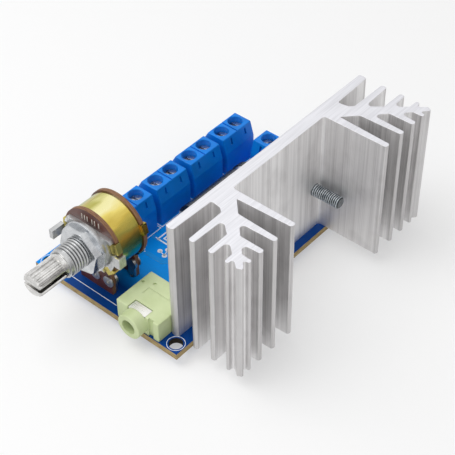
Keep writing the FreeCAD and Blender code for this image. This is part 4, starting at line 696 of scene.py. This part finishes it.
@dataclass(frozen=True)
class ShrunkSleeve:
    """Heat-shrunk capacitor sleeve: glossy dark film with a paler stripe down one side."""

    name: str = "shrunk_sleeve"
    film: str = "#17191E"
    stripe: str = "#A8ADB4"
    centre_mm: Pair = (1.6, 6.6)
    # Half of the stripe's width, where its edge begins and where it ends.
    stripe_half_mm: Pair = (1.35, 1.65)
    stripe_fade_mm: float = 0.2
    wrinkle_mm: Triple = (1.5, 0.5, 1.5)
    depth_mm: float = 0.015
    edge_mm: float = 0.08
    roughness: Pair = (0.18, 0.34)
    ior: float = 1.53

    def build(self) -> bpy.types.Material:
        """Make the material."""
        surface = Surface(self.name)
        across = surface.past(Axis.X, self.centre_mm[0] * MM)
        up = surface.past(Axis.Z, self.centre_mm[1] * MM)
        near, far = self.stripe_half_mm
        side = surface.levels(surface.math("ABSOLUTE", up), near * MM, far * MM, 1.0, 0.0)
        facing_left = surface.levels(across, -self.stripe_fade_mm * MM, 0.0, 1.0, 0.0)
        stripe = surface.math("MULTIPLY", side, facing_left)
        wrinkle = surface.mottle(self.wrinkle_mm, LAYERED)
        surface.relief(wrinkle, self.depth_mm, self.edge_mm)
        rough = surface.levels(wrinkle, *WIDELY, *self.roughness)
        return surface.finish(surface.tones(stripe, self.film, self.stripe), rough, fixed={"IOR": self.ior})


@dataclass(frozen=True)
class PrintedInk:
    """Screen printed ink: opaque, matte and slightly thin at places."""

    name: str
    ink: str
    thin: str
    roughness: float = 0.55
    patch_mm: float = 0.35
    depth_mm: float = 0.005

    def build(self) -> bpy.types.Material:
        """Make the material."""
        surface = Surface(self.name)
        patch = surface.mottle((self.patch_mm,) * 3)
        surface.relief(patch, self.depth_mm)
        colour = surface.tones(surface.levels(patch, *SELDOM), self.ink, self.thin)
        return surface.finish(colour, self.roughness)


FINISHES: dict[str, object] = {
    "solder_mask": SolderMask(),
    # Reflowed tin alloy: bright and dimpled.
    "solder": Plated(
        "tin_solder", "#C9CBCD", "#9EA1A5", 0.3,
        streak_mm=0.5, streak_length_mm=0.5, depth_mm=0.03, edge_mm=0.0),
    "extruded_aluminium": ExtrudedAluminium(),
    # Transfer moulded epoxy: matte black with a fine grain.
    "black_moulding": Moulded("moulded_epoxy", "#1E1F21", "#17181A", 0.55),
    # Tin plated copper: pale and slightly rolled.
    "tinned_metal": Plated("tinned_copper", "#CFCFCB", "#A6A6A2", 0.3),
    # Bright zinc plate on rolled steel: smooth, with short streaks.
    "plated_steel": Plated(
        "zinc_plated_steel", "#DADCDE", "#9EA1A5", 0.2,
        streak_axis=Axis.Y, streak_mm=0.1, streak_length_mm=1.5, depth_mm=0.003, edge_mm=0.04),
    "dark_screw": RolledThread(),
    "die_cast": ThreadedDieCasting(),
    # Turned aluminium: bright, with rings of a lathe tool across the shaft.
    "turned_aluminium": Plated(
        "turned_aluminium", "#F3F2F0", "#969593", 0.15,
        streak_axis=Axis.X, streak_length_mm=3.0, depth_mm=0.006, edge_mm=0.03),
    "yellow_plating": YellowPassivated(),
    "brown_laminate": PhenolicBoard(),
    # Rolled spring brass: yellow, with streaks along the strip.
    "spring_brass": Plated(
        "spring_brass", "#CFAE5A", "#A8863C", 0.3,
        streak_axis=Axis.Y, streak_mm=0.08, streak_length_mm=2.0),
    # Moulded nylon in pale green: waxy with a soft sheen.
    "green_plastic": Moulded(
        "moulded_nylon", "#CBD7A8", "#BAC893", 0.42,
        grain_mm=0.11, depth_mm=0.008, edge_mm=0.2, flow_mm=5.0, ior=1.53),
    # Silver plated spring strip: nearly white, with streaks along the strip.
    "silvered_contact": Plated(
        "silvered_spring", "#FAFAF8", "#E6E6E3", 0.3,
        streak_axis=Axis.X, streak_mm=0.1, streak_length_mm=3.0),
    # Moulded polyamide in blue: satin with soft edges and little haze.
    "blue_plastic": Moulded(
        "moulded_polyamide", "#0680E2", "#0575D0", 0.34,
        grain_mm=0.1, edge_mm=0.15, flow_mm=5.0, ior=1.53, gloss=0.25),
    # Deep drawn aluminium can: drawing lines along it.
    "can_aluminium": Plated(
        "drawn_aluminium", "#C4C7CB", "#9A9DA2", 0.3, streak_axis=Axis.Y, streak_mm=0.15),
    "black_sleeve": ShrunkSleeve(),
    # Pressed rubber: dull with a coarse grain.
    "bung_rubber": Moulded(
        "pressed_rubber", "#2A2B2D", "#222325", 0.75, grain_mm=0.2, depth_mm=0.02, edge_mm=0.15),
    # Fired ceramic with a tan glaze.
    "chip_ceramic": Moulded(
        "fired_ceramic", "#9A7A58", "#86694A", 0.4,
        grain_mm=0.08, depth_mm=0.004, edge_mm=0.05, flow_mm=0.6, ior=1.6),
}


@dataclass
class Dresser:
    """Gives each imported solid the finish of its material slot, or its own where it has one."""

    materials: dict[str, bpy.types.Material] = field(default_factory=dict)
    own: dict[str, str] = field(default_factory=lambda: {"clamp_screws": "dark_screw"})

    def finish_of(self, name: str) -> bpy.types.Material:
        """Build a finish once.

        Args:
            name: the finish, which is a material slot of the record or one of the scene's own.

        Returns:
            The finish's material.
        """
        if name not in self.materials:
            self.materials[name] = FINISHES[name].build()
        return self.materials[name]

    def dress(self) -> None:
        """Dress every node of the frame."""
        for entry in frame["record"]["subparts"]:
            node = frame["nodes"][entry["node"]]
            node.data.materials.clear()
            finish = self.own.get(entry["node"], entry["material_slot"])
            node.data.materials.append(self.finish_of(finish))
            log.info("dressed %s in %s", node.name, finish)


@dataclass
class Strokes:
    """Raised strokes of ink on one flat face, gathered into one mesh."""

    name: str
    origin: Vector
    across: Vector
    up: Vector
    height_mm: float = 0.05
    sunk_mm: float = 0.01
    # Share of each step of a ring that stays open, so that its patches don't touch.
    ring_gap: float = 0.04
    mesh: bmesh.types.BMesh = field(default_factory=bmesh.new)

    def point(self, x_mm: float, y_mm: float, out_mm: float) -> Vector:
        """Point over the face.

        Args:
            x_mm: place across.
            y_mm: place up.
            out_mm: height over the face.

        Returns:
            The point in the row frame.
        """
        out = self.across.cross(self.up) * (out_mm * MM)
        return self.origin + self.across * (x_mm * MM) + self.up * (y_mm * MM) + out

    def patch(self, corners: list[Pair], rise: float = 0.0) -> None:
        """Closed flat patch of ink.

        Args:
            corners: outline in millimetres, anticlockwise as seen.
            rise: extra height in millimetres, so that patches which overlap don't share a face.
        """
        low = [self.mesh.verts.new(self.point(x, y, -self.sunk_mm)) for x, y in corners]
        high = [self.mesh.verts.new(self.point(x, y, self.height_mm + rise)) for x, y in corners]
        self.mesh.faces.new(high)
        self.mesh.faces.new(list(reversed(low)))
        for number in range(len(corners)):
            after = (number + 1) % len(corners)
            self.mesh.faces.new([low[number], low[after], high[after], high[number]])

    def line(self, start: Pair, end: Pair, width: float, rise: float = 0.0) -> None:
        """Straight stroke.

        Args:
            start: first end in millimetres.
            end: second end in millimetres.
            width: stroke width in millimetres.
            rise: extra height in millimetres.
        """
        run = Vector((end[0] - start[0], end[1] - start[1])).normalized() * width / 2
        side = Vector((-run.y, run.x))
        self.patch([
            (start[0] - run.x - side.x, start[1] - run.y - side.y),
            (end[0] + run.x - side.x, end[1] + run.y - side.y),
            (end[0] + run.x + side.x, end[1] + run.y + side.y),
            (start[0] - run.x + side.x, start[1] - run.y + side.y),
        ], rise)

    def frame_of(self, low: Pair, high: Pair, width: float) -> None:
        """Rectangle drawn with four strokes.

        Args:
            low: lower left corner in millimetres.
            high: upper right corner in millimetres.
            width: stroke width in millimetres.
        """
        self.line(low, (high[0] - width, low[1]), width)
        self.line((high[0], low[1]), (high[0], high[1] - width), width)
        self.line(high, (low[0] + width, high[1]), width)
        self.line((low[0], high[1]), (low[0], low[1] + width), width)

    def ring(self, centre: Pair, radius: float, width: float,
             start: float = 0.0, end: float = FULL_TURN, steps: int = 40) -> None:
        """Ring or part of a ring.

        Args:
            centre: centre in millimetres.
            radius: middle radius in millimetres.
            width: stroke width in millimetres.
            start: first angle in degrees.
            end: last angle in degrees.
            steps: number of short pieces.
        """
        inner, outer = radius - width / 2, radius + width / 2
        step = (end - start) / steps
        for number in range(steps):
            first = math.radians(start + step * (number + self.ring_gap))
            last = math.radians(start + step * (number + 1))
            self.patch([
                (centre[0] + inner * math.cos(first), centre[1] + inner * math.sin(first)),
                (centre[0] + outer * math.cos(first), centre[1] + outer * math.sin(first)),
                (centre[0] + outer * math.cos(last), centre[1] + outer * math.sin(last)),
                (centre[0] + inner * math.cos(last), centre[1] + inner * math.sin(last)),
            ])

    def disc(self, centre: Pair, radius: float, steps: int = 24) -> None:
        """Filled round dot.

        Args:
            centre: centre in millimetres.
            radius: the dot's radius in millimetres.
            steps: number of sides.
        """
        angles = [math.tau * number / steps for number in range(steps)]
        self.patch([(centre[0] + radius * math.cos(angle), centre[1] + radius * math.sin(angle))
                    for angle in angles])

    def place(self, material: bpy.types.Material, body: str) -> bpy.types.Object:
        """Turn the strokes into a piece that rides on a body.

        Args:
            material: the ink.
            body: name of the body it rides on.

        Returns:
            The new piece.
        """
        bmesh.ops.recalc_face_normals(self.mesh, faces=self.mesh.faces)
        data = bpy.data.meshes.new(self.name)
        self.mesh.to_mesh(data)
        self.mesh.free()
        data.materials.append(material)
        piece = bpy.data.objects.new(self.name, data)
        bpy.context.scene.collection.objects.link(piece)
        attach(piece, body)
        log.info("placed %s", self.name)
        return piece


@dataclass
class BoardTracks:
    """Copper tracks that show as low ridges under the mask, on both faces of the board.

    Each route is a row of places in millimetres from the board's left and front edges.
    """

    width: float = 1.1
    height: float = 0.035
    # Extra height of every second stroke, so that strokes which overlap don't share a face.
    overlap_rise: float = 0.002
    pole_x: float = 13.6
    chip_x: float = 31.5
    pole_places: tuple[float, ...] = (18.4, 23.4, 30.0, 35.1, 41.7, 46.7, 53.3, 58.4)
    chip_places: tuple[float, ...] = (21.0, 25.4, 31.4, 33.6, 39.6, 44.2, 50.6, 54.4)
    turn_x: tuple[float, ...] = (22.0, 17.5, 17.0, 17.0, 17.0, 17.0, 17.5, 18.0)
    under_routes: tuple[tuple[Pair, ...], ...] = (
        ((7.7, 7.2), (7.7, 11.0), (12.5, 15.8), (30.0, 15.8)),
        ((11.7, 7.2), (11.7, 9.6), (15.9, 13.8), (31.0, 13.8)),
        ((15.7, 7.2), (15.7, 8.2), (19.3, 11.8), (29.0, 11.8)),
        ((24.0, 57.0), (24.0, 49.0), (31.0, 42.0)),
        ((19.0, 57.0), (19.0, 30.0), (27.0, 22.0), (27.0, 18.0)),
        ((5.0, 14.0), (5.0, 54.0), (9.0, 58.0)),
    )

    def build(self, copper: bpy.types.Material) -> list[bpy.types.Object]:
        """Draw the tracks.

        Args:
            copper: mask as it looks over copper.

        Returns:
            The upper and the lower piece.
        """
        low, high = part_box("circuit_board")
        upper = Strokes("upper_tracks", Vector((low.x, low.y, high.z)), Vector((1, 0, 0)), Vector((0, 1, 0)),
                        self.height)
        for pole_y, chip_y, turn in zip(self.pole_places, self.chip_places, self.turn_x):
            across = abs(chip_y - pole_y)
            self.route(upper, [(self.pole_x, pole_y), (turn, pole_y), (turn + across, chip_y),
                               (self.chip_x, chip_y)], 1)
        lower = Strokes("lower_tracks", Vector((low.x, low.y, low.z)), Vector((1, 0, 0)), Vector((0, -1, 0)),
                        self.height)
        for places in self.under_routes:
            self.route(lower, list(places), -1)
        return [strokes.place(copper, BOARD_BODY) for strokes in (upper, lower)]

    def route(self, strokes: Strokes, places: list[Pair], side: int) -> None:
        """Draw one track as short strokes that overlap at the bends.

        Args:
            strokes: the tracks so far.
            places: the route's places.
            side: one on the upper face, minus one on the lower.
        """
        for number, (first, second) in enumerate(zip(places, places[1:])):
            rise = self.overlap_rise * (number % 2)
            strokes.line((first[0], first[1] * side), (second[0], second[1] * side), self.width, rise)


@dataclass
class BoardPrint:
    """White print on the board's top face: part outlines, hole rings, polarity and pole marks.

    Places and sizes are in millimetres, places from the board's left and front edges.
    """

    line: float = 0.22
    terminal_margin: float = 0.5
    # Ends of the line along the front edge, its distance from that edge, and its width.
    front_ends: Pair = (9.0, 23.4)
    front_depth: float = 2.1
    front_width: float = 0.154
    ring_radius: float = 2.0
    ring_line: float = 0.12
    # Nested corner marks: the corner's place, and the reach of both arms.
    corners: tuple[Triple, ...] = (
        (16.1, 23.3, 3.4), (17.1, 24.3, 2.0), (18.0, 25.2, 0.7))
    corner_line: float = 0.36
    dots: tuple[Pair, ...] = ((19.15, 20.7), (21.0, 20.2), (20.3, 22.1))
    dot_radius: float = 0.6
    # Plus and minus signs beside the speaker blocks.
    block_count: int = 4
    first_block: float = 20.9
    block_pitch: float = 11.65
    pole_from_middle: float = 2.5
    sign_place: float = 16.0
    sign_reach: float = 0.6
    sign_gap: float = 0.2

    def build(self, ink: bpy.types.Material) -> bpy.types.Object:
        """Draw the print.

        Args:
            ink: material of the print.

        Returns:
            The printed piece.
        """
        low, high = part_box("circuit_board")
        strokes = Strokes("board_print", Vector((low.x, low.y, high.z)), Vector((1, 0, 0)), Vector((0, 1, 0)))
        self.outlines(strokes, low)
        self.signs(strokes)
        self.marks(strokes)
        left, right = self.front_ends
        strokes.line((left, self.front_depth), (right, self.front_depth), self.front_width)
        for x, y in mounting_holes():
            strokes.ring(((x - low.x) / MM, (y - low.y) / MM), self.ring_radius, self.ring_line)
        return strokes.place(ink, BOARD_BODY)

    def outlines(self, strokes: Strokes, corner: Vector) -> None:
        """Outline each terminal block.

        Args:
            strokes: the print so far.
            corner: the board's lowest corner.
        """
        margin = Vector((self.terminal_margin, self.terminal_margin, 0.0))
        names = [f"speaker_block_{number}" for number in range(1, self.block_count + 1)] + ["supply_block"]
        for name in names:
            low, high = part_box(name)
            first = (low - corner) / MM - margin
            last = (high - corner) / MM + margin
            strokes.frame_of((first.x, first.y), (last.x, last.y), self.line)

    def signs(self, strokes: Strokes) -> None:
        """Draw a plus and a minus sign beside the poles of each speaker block.

        Args:
            strokes: the print so far.
        """
        left, right = self.sign_place - self.sign_reach, self.sign_place + self.sign_reach
        for number in range(self.block_count):
            middle = self.first_block + self.block_pitch * number
            plus, minus = middle - self.pole_from_middle, middle + self.pole_from_middle
            strokes.line((left, plus), (right, plus), self.line)
            for start, end in ((-self.sign_reach, -self.sign_gap), (self.sign_gap, self.sign_reach)):
                strokes.line((self.sign_place, plus + start), (self.sign_place, plus + end), self.line)
            strokes.line((left, minus), (right, minus), self.line)

    def marks(self, strokes: Strokes) -> None:
        """Draw the plain corner marks and the joined dots.

        Args:
            strokes: the print so far.
        """
        for x, y, reach in self.corners:
            strokes.line((x, y), (x, y + reach), self.corner_line)
            strokes.line((x + self.corner_line, y), (x + reach, y), self.corner_line)
        for first, second in zip(self.dots, self.dots[1:]):
            strokes.line(first, second, self.line)
        for dot in self.dots:
            strokes.disc(dot, self.dot_radius)


@dataclass
class WaferPrint:
    """Plain tally strokes printed on the volume control's front wafer, over the mounting plate.

    Sizes are in millimetres from the shaft's axis.
    """

    stroke: float = 0.28
    height: float = 1.1
    rise: float = 6.0
    offsets: tuple[float, ...] = (-2.4, -1.6, -0.8, 0.6, 1.4, 2.6)

    def build(self, ink: bpy.types.Material) -> bpy.types.Object:
        """Draw the strokes.

        Args:
            ink: material of the print.

        Returns:
            The printed piece.
        """
        wafer_low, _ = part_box("volume_front_wafer")
        shaft_low, shaft_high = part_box("volume_shaft")
        axis = (shaft_low + shaft_high) / 2
        origin = Vector((axis.x, wafer_low.y, axis.z))
        strokes = Strokes("wafer_print", origin, Vector((1, 0, 0)), Vector((0, 0, 1)))
        foot, top = self.rise - self.height / 2, self.rise + self.height / 2
        for offset in self.offsets:
            strokes.line((offset, foot), (offset, top), self.stroke)
        return strokes.place(ink, BOARD_BODY)


@dataclass(frozen=True)
class Softbox:
    """Square soft lamp: its place and side in millimetres, and its light in watts."""

    name: str
    place_mm: Triple
    side_mm: float
    power: float


@dataclass
class Studio:
    """Pale floor, white surround, soft lamps and the camera."""

    target_mm: Triple = (10.2, 27.54, 10.0)
    # Camera as it was fitted to the photograph: degrees, millimetres from the target, and lens.
    azimuth: float = 40.973
    elevation: float = 43.361
    roll: float = -0.632
    distance_mm: float = 280.28
    lens: float = 99.51
    sensor: float = 36.0
    clip_start: float = 0.01
    floor_mm: float = 4000.0
    floor_colour: str = "#F4F4F4"
    floor_roughness: float = 0.9
    floor_grain_mm: float = 1.5
    floor_depth_mm: float = 0.002
    floor_glow: float = 0.4
    surround: float = 0.52
    softboxes: tuple[Softbox, ...] = (
        Softbox("key_softbox", (-170.0, -130.0, 470.0), 480.0, 1.85),
        Softbox("fill_softbox", (320.0, -300.0, 260.0), 480.0, 0.3),
    )

    def build(self) -> None:
        """Make the whole studio."""
        self.floor()
        self.world()
        for softbox in self.softboxes:
            self.lamp(softbox)
        self.camera()

    def floor(self) -> bpy.types.Object:
        """Flat floor just under the lowest point, partly glowing where the camera sees it.

        Returns:
            The floor.
        """
        surface = Surface("studio_paper")
        surface.relief(surface.mottle((self.floor_grain_mm,) * 3), self.floor_depth_mm)
        surface.finish(self.floor_colour, self.floor_roughness)
        tree = surface.tree
        share = add_node(tree, "ShaderNodeMath", {"operation": "MULTIPLY"}, {
            0: self.seen_plainly(tree), 1: self.floor_glow})
        glow = add_node(tree, "ShaderNodeEmission", inputs={"Color": (1.0, 1.0, 1.0, 1.0), "Strength": 1.0})
        paper = add_node(tree, "ShaderNodeMixShader", inputs={
            0: share.outputs[0], 1: surface.shader.outputs["BSDF"], 2: glow.outputs[0]})
        output = next(node for node in tree.nodes if node.type == "OUTPUT_MATERIAL")
        feed(output, "Surface", paper.outputs[0])
        half = self.floor_mm / 2 * MM
        level = CAD_BOUNDS[0][2]
        corners = [(x * half, y * half, level) for x, y in ((-1, -1), (1, -1), (1, 1), (-1, 1))]
        data = bpy.data.meshes.new("floor")
        data.from_pydata(corners, [], [(0, 1, 2, 3)])
        data.materials.append(surface.material)
        floor = bpy.data.objects.new("floor", data)
        bpy.context.scene.collection.objects.link(floor)
        return floor

    @staticmethod
    def seen_plainly(tree: bpy.types.NodeTree) -> Socket:
        """One for what the camera sees itself, in bright metal or through glass, and nought otherwise.

        Args:
            tree: node tree of the floor or the world.

        Returns:
            The share's socket.
        """
        path = add_node(tree, "ShaderNodeLightPath")
        seen = path.outputs["Is Camera Ray"]
        for ray in ("Is Glossy Ray", "Is Transmission Ray"):
            seen = add_node(tree, "ShaderNodeMath", {"operation": "MAXIMUM"}, {
                0: seen, 1: path.outputs[ray]}).outputs[0]
        return seen

    def world(self) -> None:
        """White surround that the camera and bright metal see in full, and that lights the rest softly."""
        world = bpy.data.worlds.new("surround")
        bpy.context.scene.world = world
        world.use_nodes = True
        tree = world.node_tree
        tree.nodes.clear()
        strength = add_node(tree, "ShaderNodeMapRange", inputs={
            "Value": self.seen_plainly(tree), "To Min": self.surround, "To Max": 1.0})
        light = add_node(tree, "ShaderNodeBackground", inputs={
            "Color": (1.0, 1.0, 1.0, 1.0), "Strength": strength.outputs[0]})
        add_node(tree, "ShaderNodeOutputWorld", inputs={"Surface": light.outputs[0]})

    def lamp(self, softbox: Softbox) -> None:
        """Place one soft lamp, aimed at the object.

        Args:
            softbox: the lamp's place, side and power.
        """
        data = bpy.data.lights.new(softbox.name, "AREA")
        data.size = softbox.side_mm * MM
        data.energy = softbox.power
        lamp = bpy.data.objects.new(softbox.name, data)
        lamp.location = Vector(softbox.place_mm) * MM
        aim = Vector(self.target_mm) * MM - lamp.location
        lamp.rotation_mode = "QUATERNION"
        lamp.rotation_quaternion = aim.to_track_quat("-Z", "Y")
        bpy.context.scene.collection.objects.link(lamp)

    def camera(self) -> None:
        """Camera at the photograph's angle and distance."""
        data = bpy.data.cameras.new("photo_camera")
        data.lens = self.lens
        data.sensor_width = self.sensor
        data.clip_start = self.clip_start
        camera = bpy.data.objects.new("photo_camera", data)
        turn, rise = math.radians(self.azimuth), math.radians(self.elevation)
        back = Vector((math.sin(turn) * math.cos(rise), -math.cos(turn) * math.cos(rise), math.sin(rise)))
        camera.location = (Vector(self.target_mm) + back * self.distance_mm) * MM
        camera.rotation_mode = "QUATERNION"
        level = (-back).to_track_quat("-Z", "Y")
        camera.rotation_quaternion = level @ Quaternion((0, 0, 1), math.radians(self.roll))
        bpy.context.scene.collection.objects.link(camera)
        bpy.context.scene.camera = camera


def main() -> None:
    """Dress the solids, add the print and set up the studio."""
    logging.basicConfig(level=logging.INFO)
    Dresser().dress()
    white = PrintedInk("white_print", "#F4F6F8", "#C9D6E6").build()
    BoardTracks().build(SolderMask("mask_over_copper", "#2299EC", "#1A8FE0").build())
    BoardPrint().build(white)
    WaferPrint().build(PrintedInk("pale_print", "#D8D2C8", "#9C8478").build())
    Studio().build()
    bpy.context.scene.view_settings.view_transform = "Standard"


if __name__ == "__main__":
    main()
